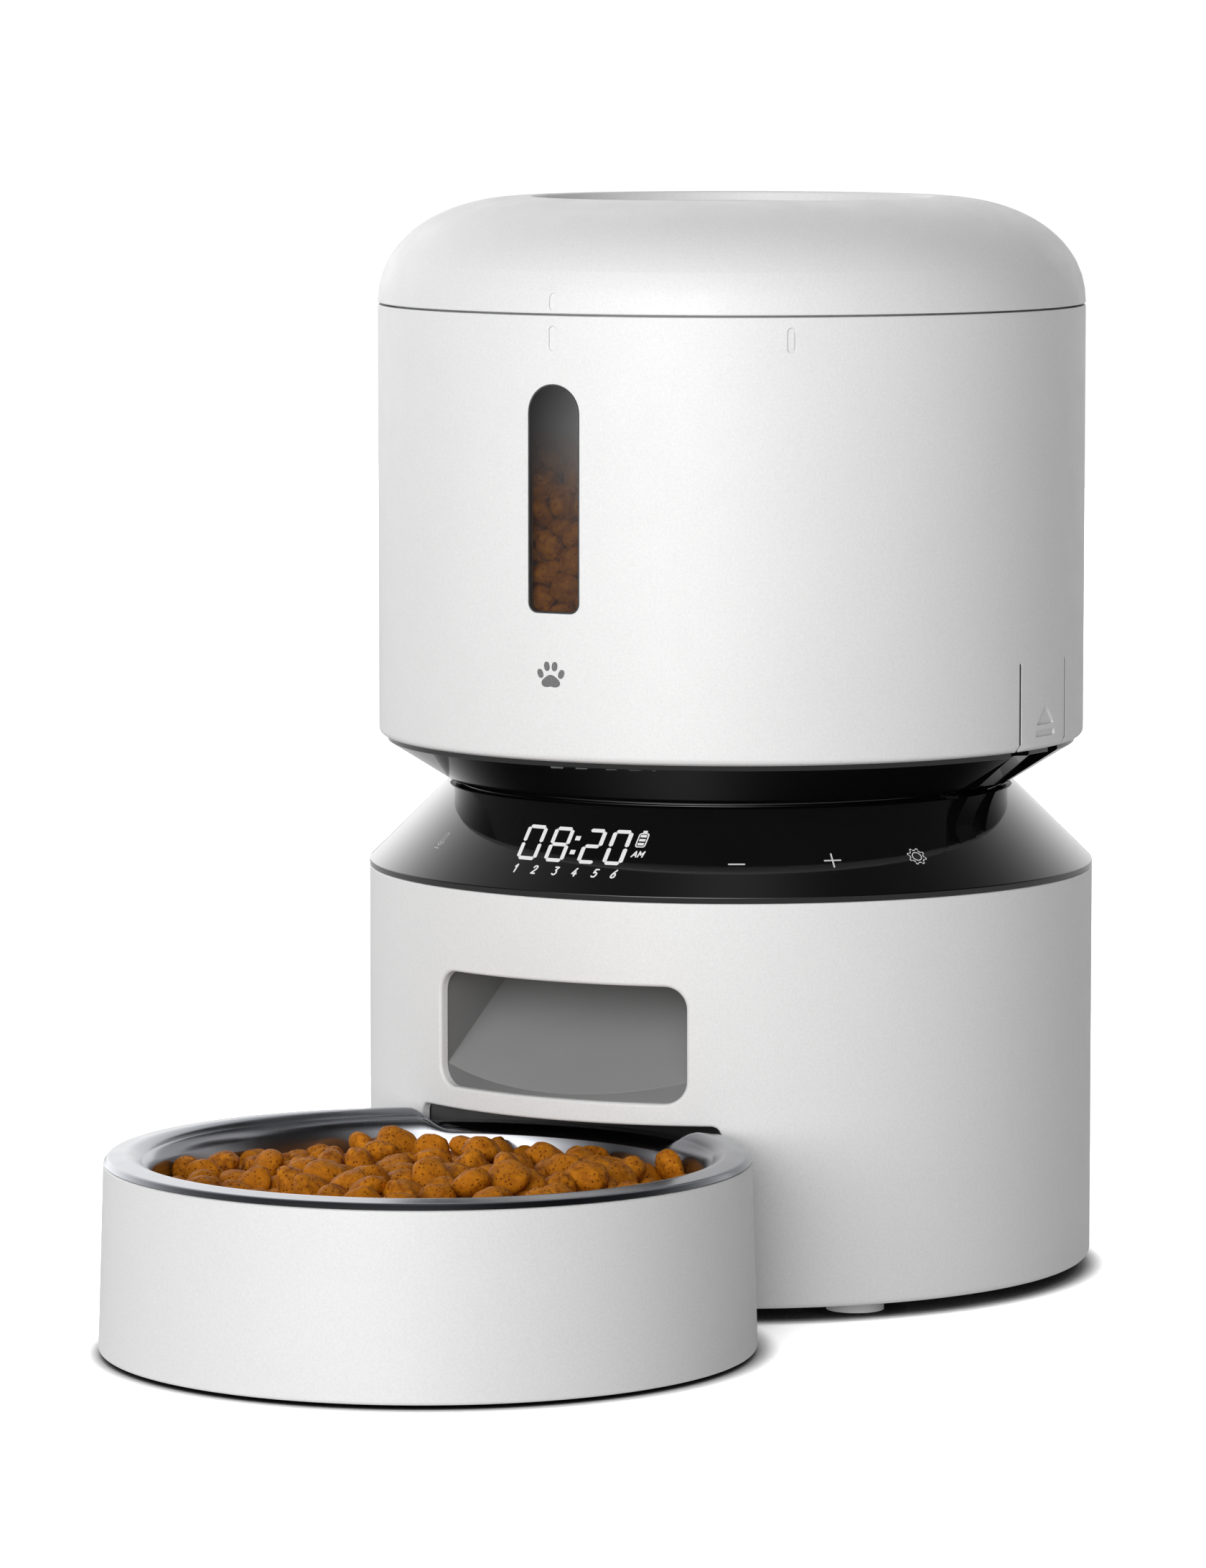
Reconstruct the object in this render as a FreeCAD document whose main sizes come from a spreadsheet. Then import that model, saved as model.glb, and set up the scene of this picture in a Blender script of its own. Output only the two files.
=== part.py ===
"""Automatic pet feeder: a round base with a geared portion drive, a lift-off hopper with a
twist-off lid, and a pull-out bowl stand.

Every sub-part is modelled about the feeder's vertical axis, front towards -Y, floor at Z = 0,
and is then shifted along Y so that the origin is the middle of the footprint.
"""
import FreeCAD, Part
import math
import os
import re

import Sketcher
from FreeCAD import Rotation, Vector

# Driving dimensions in millimetres (angles in degrees, counts as plain numbers).
SIZES = {
    # base shell
    "base_radius": 96.5, "base_wall": 2.6, "base_low": 3.2, "base_top": 107.9, "base_edge_fillet": 2.0,
    "boss_reach": 90.2, "boss_radius": 4.2, "boss_top": 22.0,
    "outlet_half": 36.8, "outlet_low": 56.2, "outlet_high": 86.3, "outlet_corner": 5.6,
    "grille_slot": 1.6, "grille_pitch": 5.0, "grille_half": 13.0, "speaker_z": 56.0,
    # control cone and its well
    "waist_radius": 75.0, "waist_z": 130.4, "cone_wall": 2.0,
    "well_radius": 72.6, "well_wall": 1.8, "catch_low": 111.2, "catch_high": 117.4, "catch_half": 7.2,
    # deck and chute
    "deck_low": 89.5, "deck_high": 92.0, "deck_radius": 93.4, "shaft_hole": 4.3,
    "port_half": 30.0, "port_front": 59.0, "port_back": 40.0,
    "chute_half": 36.0, "chute_wall": 1.8, "ramp_low": 56.6, "chute_front": 93.6, "chute_lip_front": 64.0,
    # underside
    "cover_high": 7.2, "cover_radius": 93.6, "foot_radius": 7.5, "foot_reach": 81.5,
    "foot_front_angle": 37.5, "foot_back_angle": 50.0,
    "screw_angle_front": 15.0, "screw_angle_back": 28.0, "screw_head": 3.0, "screw_shank": 1.5,
    "door_half": 40.0, "door_front": 50.0, "door_back": 64.0, "door_low": 3.4, "door_high": 5.3,
    "door_recess_high": 5.6, "door_recess_back": 77.5, "door_gap": 0.4,
    "cell_radius": 16.4, "cell_length": 60.0, "cell_pitch": 35.0, "cell_z": 25.0, "cell_row_y": 7.0,
    "tray_half": 38.0, "tray_front": 46.5, "tray_back": 60.5, "tray_high": 44.6, "tray_wall": 2.0,
    # drive
    "gear_module": 1.0, "output_teeth": 44, "idler_teeth": 28, "pinion_teeth": 14, "gear_low": 79.4,
    "gear_height": 6.0, "gear_backlash": 0.3, "shaft_radius": 4.0, "shaft_low": 77.2, "shaft_high": 102.0,
    "gearbox_low": 75.0, "gearbox_floor": 2.4, "gearbox_half": 26.0, "gearbox_front": 25.4,
    "gearbox_back": 78.0, "gearbox_wall": 1.8, "idler_pin_radius": 2.5, "running_gap": 0.05,
    "motor_radius": 17.0, "motor_low": 45.4, "motor_shaft_radius": 1.5,
    # bowl
    "bowl_offset": 155.8, "stand_radius": 82.7, "stand_top_radius": 81.2, "stand_low": 1.0,
    "stand_high": 48.4, "stand_wall": 2.2, "stand_floor": 3.0, "rim_low": 48.6, "rim_high": 51.6,
    "rim_radius": 81.1, "basin_mouth": 71.0, "basin_floor_radius": 52.0, "basin_floor": 14.0,
    "steel": 1.0, "rear_rim": 46.2, "rear_reach": 99.0, "bay_radius": 84.2, "bay_high": 50.5,
    "bay_wall": 1.8, "pad_radius": 5.0, "pad_reach": 70.0,
    # hopper
    "hopper_radius": 93.9, "hopper_wall": 2.4, "hopper_low": 144.0, "hopper_high": 257.0,
    "hopper_edge_z": 140.7, "hopper_edge_radius": 90.5, "mouth_step_low": 244.0, "mouth_step_high": 249.0,
    "mouth_radius": 88.6, "lug_radius": 85.6, "lug_span": 30.0, "lug_count": 4,
    "window_half": 7.6, "window_low": 180.9, "window_high": 239.5,
    "neck_low": 131.4, "neck_radius": 75.6, "neck_wall": 1.8, "neck_inner": 62.0, "neck_skirt": 71.4,
    "neck_ring_low": 125.5, "notch_half": 13.3, "notch_inner": 65.4,
    "funnel_high": 161.0, "funnel_mouth": 91.4, "funnel_wall": 1.8, "chamber_radius": 60.0,
    "chamber_wall": 1.8, "chamber_low": 93.0, "chamber_floor": 2.0,
    "hub_hole": 7.0, "shelf_low": 126.6, "shelf_high": 128.4, "shelf_inner": 14.0, "shelf_span": 84.0,
    # release tabs
    "tab_half": 12.4, "slit": 0.9, "tab_high": 166.0, "tab_low": 140.9, "tab_hairline": 0.06, "tab_relief": 89.9,
    "arm_half": 5.5, "arm_inner": 68.2, "arm_outer": 70.6, "tooth_reach": 73.6, "tooth_low": 112.0,
    "tooth_high": 116.6,
    # rotor
    "rotor_low": 95.4, "rotor_high": 126.0, "hub_radius": 12.0, "vane_count": 8, "vane_thick": 2.4,
    "vane_reach": 52.0, "blade_reach": 59.4, "blade_thick": 1.4, "cap_low": 126.0, "cap_high": 143.0,
    # lid
    "lid_low": 257.5, "lid_high": 285.5, "lid_wall": 2.4, "lid_corner": 54.0, "dish_radius": 53.0,
    "dish_floor": 276.6, "skirt_radius": 85.0, "skirt_wall": 2.0, "liner_plate": 255.0,
    "key_radius": 88.0, "key_low": 241.6, "key_high": 243.4, "key_span": 28.0, "seal_inner": 88.3,
    "seal_outer": 91.1, "seal_low": 249.1, "seal_high": 253.6, "box_radius": 30.0, "box_wall": 1.6,
    "box_low": 247.0, "vent_cover": 2.0, "sachet_radius": 25.0,
}

doc = FreeCAD.newDocument("pet_feeder")
sheet = doc.addObject("Spreadsheet::Sheet", "size")
for row, (alias, number) in enumerate(SIZES.items(), start=1):
    sheet.set(f"A{row}", alias.replace("_", " "))
    sheet.set(f"B{row}", str(number))
    sheet.setAlias(f"B{row}", alias)
doc.recompute()

parts = []
AXIS_Y = "(bowl_offset + stand_radius - base_radius) / 2"
UPRIGHT = Vector(0, 0, 1)


# ---- helpers: formulas, sketches, solids ---------------------------------------------------------

def formula(text):
    """A sheet formula from plain words: 'base_radius - 2' becomes 'size.base_radius - 2'."""
    return re.sub(r"[a-z_]+", lambda word: "size." + word.group() if word.group() in SIZES else word.group(),
                  str(text))


def value(text):
    """The number that a formula gives."""
    return float(sheet.evalExpression(formula(text)))


def bind(thing, prop, text):
    thing.setExpression(prop, formula(text))


def place(thing, x="0", y="0", z="0"):
    """Bind where a feature stands, and remember it for the final shift along Y."""
    for letter, text in zip("xyz", (x, y, z)):
        bind(thing, f"Placement.Base.{letter}", text)
    thing.Label2 = str(y)
    return thing


def sketch_on(body, plane, outline, offset="0"):
    """A closed outline on one of the body's origin planes, every corner bound to the sheet.

    A corner is (x, y); with two more formulas it is reached by an arc through that middle point.
    """
    sketch = body.newObject("Sketcher::SketchObject", body.Name + "_outline")
    support = [feature for feature in body.Origin.OriginFeatures if feature.Role == plane][0]
    sketch.AttachmentSupport = [(support, "")]
    sketch.MapMode = "FlatFace"
    bind(sketch, "AttachmentOffset.Base.z", offset)
    corners = [Vector(value(corner[0]), value(corner[1]), 0) for corner in outline]
    for number, corner in enumerate(outline):
        start, end = corners[number - 1], corners[number]
        if len(corner) == 4:
            middle = Vector(value(corner[2]), value(corner[3]), 0)
            index = sketch.addGeometry(Part.Arc(start, middle, end))
            sketch.addConstraint(Sketcher.Constraint("Radius", index, sketch.Geometry[index].Radius))
        else:
            sketch.addGeometry(Part.LineSegment(start, end))
    for number, corner in enumerate(outline):
        edge = sketch.Geometry[number]
        at_end = 2 if (edge.EndPoint - corners[number]).Length < (edge.StartPoint - corners[number]).Length else 1
        following = (number + 1) % len(outline)
        after = sketch.Geometry[following]
        is_start = (after.StartPoint - corners[number]).Length < (after.EndPoint - corners[number]).Length
        sketch.addConstraint(Sketcher.Constraint("Coincident", number, at_end, following, 1 if is_start else 2))
        for kind, text, length in (("DistanceX", corner[0], corners[number].x),
                                   ("DistanceY", corner[1], corners[number].y)):
            index = sketch.addConstraint(Sketcher.Constraint(kind, -1, 1, number, at_end, length))
            bind(sketch, f"Constraints[{index}]", text)
    return sketch


def revolved(name, outline, sweep="360"):
    """A body turned about the feeder's axis; the outline is radius and height."""
    body = doc.addObject("PartDesign::Body", name)
    sketch = sketch_on(body, "XZ_Plane", outline)
    turned = body.newObject("PartDesign::Revolution", name + "_turned")
    turned.Profile = sketch
    turned.ReferenceAxis = (sketch, ["V_Axis"])
    bind(turned, "Angle", sweep)
    return body


def padded(name, plane, outline, low, high):
    """A body extruded along its plane's normal: +Z for XY, -Y for XZ, +X for YZ."""
    body = doc.addObject("PartDesign::Body", name)
    sketch = sketch_on(body, plane, outline, low)
    pad = body.newObject("PartDesign::Pad", name + "_pad")
    pad.Profile = sketch
    bind(pad, "Length", f"({high}) - ({low})")
    return body


def cylinder(name, radius, low, high, x="0", y="0", angle="360"):
    solid = doc.addObject("Part::Cylinder", name)
    bind(solid, "Radius", radius)
    bind(solid, "Height", f"({high}) - ({low})")
    bind(solid, "Angle", angle)
    return place(solid, x, y, low)


def lying_cylinder(name, radius, start, length, direction, z, along="0"):
    """A cylinder lying along X ('x') or Y ('y'), from start, at height z."""
    solid = doc.addObject("Part::Cylinder", name)
    bind(solid, "Radius", radius)
    bind(solid, "Height", length)
    if direction == "x":
        solid.Placement.Rotation = Rotation(Vector(0, 1, 0), 90)
        return place(solid, start, along, z)
    solid.Placement.Rotation = Rotation(Vector(1, 0, 0), -90)
    return place(solid, along, start, z)


def box(name, x_low, x_high, y_low, y_high, z_low, z_high):
    solid = doc.addObject("Part::Box", name)
    for prop, low, high in (("Length", x_low, x_high), ("Width", y_low, y_high), ("Height", z_low, z_high)):
        bind(solid, prop, f"({high}) - ({low})")
    return place(solid, x_low, y_low, z_low)


def cut(name, base, tools):
    tool = tools[0] if len(tools) == 1 else fuse(name + "_tools", tools)
    result = doc.addObject("Part::Cut", name)
    result.Base = base
    result.Tool = tool
    return place(result)


def fuse(name, solids):
    result = doc.addObject("Part::MultiFuse", name)
    result.Shapes = solids
    return place(result)


def common(name, first, second):
    result = doc.addObject("Part::Common", name)
    result.Base = first
    result.Tool = second
    return place(result)


def group(name, solids):
    """Separate solids that share one node."""
    result = doc.addObject("Part::Compound", name)
    result.Links = solids
    return place(result)


def made(name, shape):
    """A sub-part whose shape is worked out with Part's own functions."""
    feature = doc.addObject("Part::Feature", name)
    feature.Shape = shape
    return place(feature)


def keep(solid, turn=0.0):
    """Register a finished sub-part, turned about the feeder's axis and shifted to the row frame."""
    y = solid.Label2 if solid.Label2 else "0"
    if turn:
        solid.Placement.Rotation = Rotation(UPRIGHT, turn)
    bind(solid, "Placement.Base.y", f"({y}) + {AXIS_Y}")
    solid.Label = solid.Name
    parts.append(solid)


def on_circle(reach, degrees):
    """X and Y formulas of a point at an angle from +X on a circle about the axis."""
    return f"({reach}) * cos({degrees})", f"({reach}) * sin({degrees})"


def rounded_rectangle(half, low, high, corner):
    """Outline of a rectangle with round corners, centred on X = 0."""
    bulge = f"({corner}) * {1 - math.sqrt(0.5)}"
    return [
        (f"-({half}) + {corner}", low, f"-({half}) + {bulge}", f"({low}) + {bulge}"),
        (f"({half}) - {corner}", low),
        (half, f"({low}) + {corner}", f"({half}) - {bulge}", f"({low}) + {bulge}"),
        (half, f"({high}) - {corner}"),
        (f"({half}) - {corner}", high, f"({half}) - {bulge}", f"({high}) - {bulge}"),
        (f"-({half}) + {corner}", high),
        (f"-({half})", f"({high}) - {corner}", f"-({half}) + {bulge}", f"({high}) - {bulge}"),
        (f"-({half})", f"({low}) + {corner}"),
    ]


def bowl_zone(name, radius, low, high):
    """A cylinder about the bowl's own axis."""
    return cylinder(name, radius, low, high, y="-bowl_offset")


# ---- base ----------------------------------------------------------------------------------------

def base_shell():
    inner = "base_radius - base_wall"
    wall = revolved("base_wall_ring", [
        (inner, "base_low"),
        ("base_radius - base_edge_fillet", "base_low"),
        ("base_radius", "base_low + base_edge_fillet",
         "base_radius - base_edge_fillet * 0.293", "base_low + base_edge_fillet * 0.293"),
        ("base_radius", "base_top"),
        (inner, "base_top"),
    ])
    bosses = []
    for number, angle in enumerate(screw_angles()):
        x, y = on_circle("boss_reach", angle)
        bosses.append(cylinder(f"boss_{number}", "boss_radius", "cover_high", "boss_top", x, y))
    outlet = padded("outlet_cutter", "XZ_Plane",
                    rounded_rectangle("outlet_half", "outlet_low", "outlet_high", "outlet_corner"),
                    "base_radius - 20", "base_radius + 5")
    bay = bowl_zone("bay_cutter", "bay_radius - 0.3", "0", "bay_high")
    jack_hole = lying_cylinder("jack_hole", "6.1", "base_radius - 6", "12", "y", "20")
    slots = []
    for number in range(5):
        z = f"speaker_z + grille_pitch * {number - 2}"
        slots.append(box(f"grille_slot_{number}", "-grille_half", "grille_half", "base_radius - 6",
                         "base_radius + 4", f"{z} - grille_slot / 2", f"{z} + grille_slot / 2"))
    pilots = []
    for number, angle in enumerate(screw_angles()):
        x, y = on_circle("boss_reach", angle)
        pilots.append(cylinder(f"pilot_{number}", "screw_shank", "cover_high - 1", "boss_top - 4", x, y))
    solid = fuse("base_body", [wall] + bosses)
    keep(cut("base_shell", solid, [outlet, bay, jack_hole] + slots + pilots))


def screw_angles():
    """Angles of the four cover screws, from +X."""
    return ["screw_angle_front * -1", "screw_angle_back", "180 - screw_angle_back", "180 + screw_angle_front"]


def control_cone():
    outline = [
        ("base_radius", "base_top + 0.1"),
        ("base_radius", "base_top + 0.6"),
        ("waist_radius + 0.8", "waist_z - 0.7"),
        ("waist_radius - 0.4", "waist_z", "waist_radius + 0.3", "waist_z - 0.2"),
        ("well_radius", "waist_z"),
        ("well_radius", "deck_high"),
        ("well_radius + well_wall", "deck_high"),
        ("well_radius + well_wall", "waist_z - cone_wall - 1"),
        ("base_radius - base_wall - 0.3", "base_top + 0.1"),
    ]
    cone = revolved("cone_and_well", outline)
    windows = [box("catch_window", "-well_radius - 4", "well_radius + 4", "-catch_half", "catch_half",
                   "catch_low", "catch_high")]
    keep(cut("control_cone", cone, windows))


def deck():
    plate = cylinder("deck_plate", "deck_radius", "deck_low", "deck_high")
    port = box("deck_port", "-port_half", "port_half", "-port_front", "-port_back", "deck_low - 1", "deck_high + 1")
    hole = cylinder("deck_hole", "shaft_hole", "deck_low - 1", "deck_high + 1")
    keep(cut("deck", plate, [port, hole]))


def chute():
    """A sloping duct from the deck's port down to the outlet in the base wall."""
    wall = "chute_wall"
    outside = padded("chute_outside", "YZ_Plane", [
        (f"-port_back + {wall}", "deck_low"),
        (f"-chute_lip_front - {wall}", "deck_low"),
        (f"-chute_front - 4", f"outlet_high + {wall} - 0.8"),
        (f"-chute_front - 4", f"ramp_low - {wall} - 4.4"),
    ], f"-chute_half - {wall}", f"chute_half + {wall}")
    inside = padded("chute_inside", "YZ_Plane", [
        ("-port_back - 1.6", "deck_low + 1"),
        ("-port_front - 1", "deck_low + 1"),
        ("-port_front - 1", "deck_low - 1.4"),
        ("-chute_front - 8", "outlet_high - 0.6"),
        ("-chute_front - 8", "ramp_low - 4.4"),
    ], "-chute_half", "chute_half")
    duct = cut("chute_duct", outside, [inside])
    limit = cylinder("chute_limit", "base_radius - base_wall - 0.1", "ramp_low - 20", "deck_low")
    keep(common("chute", duct, limit))


def bowl_bay():
    """The curved back wall and ceiling of the space under the outlet that takes the bowl stand."""
    outside = bowl_zone("bay_outside", "bay_radius + bay_wall", "cover_high", "bay_high + bay_wall")
    inside = bowl_zone("bay_inside", "bay_radius", "cover_high - 1", "bay_high")
    shell = cut("bay_shell", outside, [inside])
    limit = cylinder("bay_limit", "base_radius - base_wall - 0.1", "cover_high", "bay_high + bay_wall")
    keep(common("bowl_bay", shell, limit))


def bottom_cover():
    disc = cylinder("cover_disc", "cover_radius", "base_low", "cover_high")
    recess = box("door_recess", "-door_half - door_gap", "door_half + door_gap", "-door_front - door_gap",
                 "door_recess_back", "base_low - 1", "door_recess_high")
    opening = box("battery_opening", "-tray_half + tray_wall", "tray_half - tray_wall",
                  "-tray_front + tray_wall", "tray_back - tray_wall", "base_low", "cover_high + 1")
    bay = bowl_zone("cover_bay", "bay_radius", "0", "cover_high + 1")
    holes = []
    for number, angle in enumerate(screw_angles()):
        x, y = on_circle("boss_reach", angle)
        holes.append(cylinder(f"screw_hole_{number}", "screw_shank + 0.1", "base_low - 1", "cover_high + 1", x, y))
        holes.append(cylinder(f"screw_sink_{number}", "screw_head + 0.2", "base_low - 1", "base_low + 2.4", x, y))
    keep(cut("bottom_cover", disc, [recess, opening, bay] + holes))


def foot_places():
    """X and Y formulas of the four feet."""
    angles = ["foot_front_angle * -1", "foot_back_angle", "180 - foot_back_angle", "180 + foot_front_angle"]
    return [on_circle("foot_reach", angle) for angle in angles]


def base_feet():
    discs = []
    for number, (x, y) in enumerate(foot_places()):
        discs.append(cylinder(f"foot_{number}", "foot_radius", "0", "base_low", x, y))
    keep(group("base_feet", discs))


def cover_screws():
    screws = []
    for number, angle in enumerate(screw_angles()):
        x, y = on_circle("boss_reach", angle)
        head = cylinder(f"head_{number}", "screw_head", "base_low + 0.2", "base_low + 2.4", x, y)
        shank = cylinder(f"shank_{number}", "screw_shank - 0.02", "base_low + 2.4", "boss_top - 5", x, y)
        screws.append(fuse(f"screw_{number}", [head, shank]))
    keep(group("cover_screws", screws))


def battery_parts():
    """Tray, three D cells, their contacts and the sliding door."""
    outside = box("tray_outside", "-tray_half", "tray_half", "-tray_front", "tray_back", "cover_high", "tray_high")
    inside = box("tray_inside", "-tray_half + tray_wall", "tray_half - tray_wall", "-tray_front + tray_wall",
                 "tray_back - tray_wall", "cover_high - 1", "tray_high - tray_wall")
    keep(cut("battery_tray", outside, [inside]))
    cells, contacts = [], []
    for number in range(3):
        row_y = f"cell_row_y + cell_pitch * {number - 1}"
        can = lying_cylinder(f"can_{number}", "cell_radius", "-cell_length / 2", "cell_length - 1.5", "x",
                             "cell_z", row_y)
        nub = lying_cylinder(f"nub_{number}", "4.5", "cell_length / 2 - 1.5", "1.5", "x", "cell_z", row_y)
        cells.append(fuse(f"cell_{number}", [can, nub]))
        for side, start in (("minus", "-cell_length / 2 - 2.6"), ("plus", "cell_length / 2")):
            contacts.append(box(f"contact_{side}_{number}", start, f"{start} + 2.6", f"{row_y} - 6",
                                f"{row_y} + 6", "cell_z - 7", "cell_z + 7"))
    keep(group("battery_cells", cells))
    keep(group("battery_contacts", contacts))
    plate = box("door_plate", "-door_half", "door_half", "-door_front", "door_back", "door_low", "door_high")
    grips = []
    for number in range(5):
        y = f"door_back - 6 - {number} * 3"
        grips.append(box(f"door_grip_{number}", "-12", "12", f"{y} - 0.7", f"{y} + 0.7", "door_low - 1",
                         "door_low + 0.8"))
    keep(cut("battery_door", plate, grips))


def gear(name, teeth, bore, centre_y, tooth_at):
    """A spur gear: straight-flanked teeth at the module, one tooth's middle at tooth_at degrees."""
    module, count = value("gear_module"), round(value(teeth))
    pitch_radius = module * count / 2
    half_tooth = (math.pi * module / 4 - value("gear_backlash") / 2) / pitch_radius
    lean = module * math.tan(math.radians(20)) / pitch_radius
    levels = [(pitch_radius - 1.2 * module, half_tooth + 1.1 * lean), (pitch_radius, half_tooth),
              (pitch_radius + 0.9 * module, half_tooth - 0.9 * lean)]
    points = []
    for number in range(count):
        middle = math.radians(tooth_at) + 2 * math.pi * number / count
        for radius, offset in levels:
            points.append(Vector(radius * math.cos(middle - offset), radius * math.sin(middle - offset), 0))
        for radius, offset in reversed(levels):
            points.append(Vector(radius * math.cos(middle + offset), radius * math.sin(middle + offset), 0))
    outline = Part.Face(Part.makePolygon(points + points[:1]))
    disc = outline.extrude(Vector(0, 0, value("gear_height")))
    disc.translate(Vector(0, value(centre_y), value("gear_low")))
    hole = Part.makeCylinder(value(bore), value("gear_height") + 2,
                             Vector(0, value(centre_y), value("gear_low") - 1))
    keep(made(name, disc.cut(hole)))


IDLER_Y = "gear_module * (output_teeth + idler_teeth) / 2"
PINION_Y = "gear_module * (output_teeth + idler_teeth * 2 + pinion_teeth) / 2"


def drive():
    """Motor pinion, idler and output gear in one row, in an open-topped gearbox under the deck."""
    half_pitch = 180 / value("idler_teeth")
    gear("output_gear", "output_teeth", "shaft_radius", "0", 90)
    gear("idler_gear", "idler_teeth", "idler_pin_radius + running_gap", IDLER_Y, 90 + half_pitch)
    gear("motor_pinion", "pinion_teeth", "motor_shaft_radius", PINION_Y, -90)

    keep(cylinder("drive_shaft", "shaft_radius", "shaft_low", "shaft_high"))
    keep(cylinder("motor_shaft", "motor_shaft_radius", "motor_low + 20", "gear_low + gear_height + 1", y=PINION_Y))
    keep(cylinder("idler_pin", "idler_pin_radius", "gearbox_low + gearbox_floor", "deck_low", y=IDLER_Y))

    outside = box("gearbox_outside", "-gearbox_half", "gearbox_half", "-gearbox_front", "gearbox_back",
                  "gearbox_low", "deck_low")
    inside = box("gearbox_inside", "-gearbox_half + gearbox_wall", "gearbox_half - gearbox_wall",
                 "-gearbox_front + gearbox_wall", "gearbox_back - gearbox_wall",
                 "gearbox_low + gearbox_floor", "deck_low + 1")
    shaft_seat = cylinder("shaft_seat", "shaft_radius + running_gap", "shaft_low - 0.1", "gearbox_low + 6")
    motor_hole = cylinder("motor_hole", "motor_shaft_radius + 0.6", "gearbox_low - 1", "gearbox_low + 6", y=PINION_Y)
    keep(cut("gearbox", outside, [inside, shaft_seat, motor_hole]))

    can = cylinder("motor_can", "motor_radius", "motor_low", "gearbox_low", y=PINION_Y)
    shaft_hole = cylinder("motor_shaft_hole", "motor_shaft_radius + 0.1", "motor_low + 19.9", "gearbox_low + 1",
                          y=PINION_Y)
    keep(cut("gear_motor", can, [shaft_hole]))


def electronics():
    """Boards, microphone, speaker and the power inlet."""
    board = box("board", "-74", "-42", "-14", "40", "60", "61.6")
    chip = box("chip", "-66", "-52", "0", "14", "61.6", "64")
    radio = box("radio_module", "-68", "-50", "20", "36", "61.6", "64.6")
    plug = box("board_plug", "-48", "-43.5", "-8", "8", "61.6", "67")
    keep(fuse("main_board", [board, chip, radio, plug]))

    depth = 2.4
    run = 13.0
    corner_y, corner_z = "-87.2", "109.6"
    half_run = run * math.sqrt(0.5)
    thick = depth * math.sqrt(0.5)
    slab = padded("display_module", "YZ_Plane", [
        (corner_y, corner_z),
        (f"{corner_y} + {half_run}", f"{corner_z} + {half_run}"),
        (f"{corner_y} + {half_run + thick}", f"{corner_z} + {half_run - thick}"),
        (f"{corner_y} + {thick}", f"{corner_z} - {thick}"),
    ], "-22", "22")
    keep(place(slab))

    sum_inside = "base_radius - base_wall - 0.9 + base_top"
    flex = revolved("touch_flex", [
        (f"{sum_inside} - 110.4", "110.4"),
        (f"{sum_inside} - 123.6", "123.6"),
        (f"{sum_inside} - 124.4", "123.6"),
        (f"{sum_inside} - 111.2", "110.4"),
    ], "46")
    keep(place(flex), turn=-69)

    capsule = cylinder("microphone", "3", "109", "114", x="-42", y="-70")
    keep(capsule)
    magnet = lying_cylinder("speaker_magnet", "10", "74.6", "5", "y", "speaker_z - 6")
    frame = lying_cylinder("speaker_frame", "15", "79.6", "6", "y", "speaker_z - 6")
    keep(fuse("speaker", [magnet, frame]))
    barrel = lying_cylinder("jack_barrel", "6", "82", "base_radius - 82.4", "y", "20")
    bore = lying_cylinder("jack_bore", "2.75", "86", "12", "y", "20")
    keep(cut("dc_jack", barrel, [bore]))


# ---- bowl ----------------------------------------------------------------------------------------

def bowl():
    stand_outline = [
        ("0", "stand_low"),
        ("stand_radius", "stand_low"),
        ("stand_top_radius", "stand_high"),
        ("stand_top_radius - stand_wall", "stand_high"),
        ("stand_radius - stand_wall", "stand_low + stand_floor"),
        ("0", "stand_low + stand_floor"),
    ]
    stand = place(revolved("stand_turned", stand_outline), y="-bowl_offset")
    rear = cylinder("stand_rear", "rear_reach + 2", "rear_rim - 0.2", "rim_high + 1")
    keep(cut("bowl_stand", stand, [rear]))

    steel_outline = [
        ("0", "basin_floor"),
        ("basin_floor_radius", "basin_floor"),
        ("basin_floor_radius + 8", "basin_floor + 3"),
        ("basin_floor_radius + 12", "basin_floor + 10"),
        ("basin_mouth", "rim_low + 0.6"),
        ("basin_mouth + 3.4", "rim_high"),
        ("rim_radius - 1.4", "rim_high"),
        ("rim_radius", "rim_high - 1.4"),
        ("rim_radius", "rim_low"),
        ("rim_radius - steel", "rim_low"),
        ("rim_radius - steel", "rim_high - 1.8"),
        ("rim_radius - 1.8", "rim_high - steel"),
        ("basin_mouth + 4", "rim_high - steel"),
        ("basin_mouth + steel", "rim_low + 0.3"),
        ("basin_floor_radius + 13", "basin_floor + 9.6"),
        ("basin_floor_radius + 8.7", "basin_floor + 2.2"),
        ("basin_floor_radius + 0.3", "basin_floor - steel"),
        ("0", "basin_floor - steel"),
    ]
    steel = place(revolved("steel_turned", steel_outline), y="-bowl_offset")
    rear_cut = cylinder("steel_rear", "rear_reach", "rear_rim + steel", "rim_high + 1")
    front_steel = cut("steel_front", steel, [rear_cut])
    ledge_ring = cut("ledge_ring", bowl_zone("ledge_outer", "rim_radius", "rear_rim", "rear_rim + steel"),
                     [bowl_zone("ledge_inner", "basin_mouth - 0.6", "rear_rim - 1", "rear_rim + 2")])
    ledge_zone = cylinder("ledge_zone", "rear_reach + 1.5", "rear_rim - 1", "rim_high")
    keep(fuse("steel_bowl", [front_steel, common("ledge", ledge_ring, ledge_zone)]))

    pads = []
    for number in range(4):
        x, y = on_circle("pad_reach", f"45 + 90 * {number}")
        pads.append(cylinder(f"pad_{number}", "pad_radius", "0", "stand_low", x, f"{y} - bowl_offset"))
    keep(group("bowl_pads", pads))


# ---- hopper --------------------------------------------------------------------------------------

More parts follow.
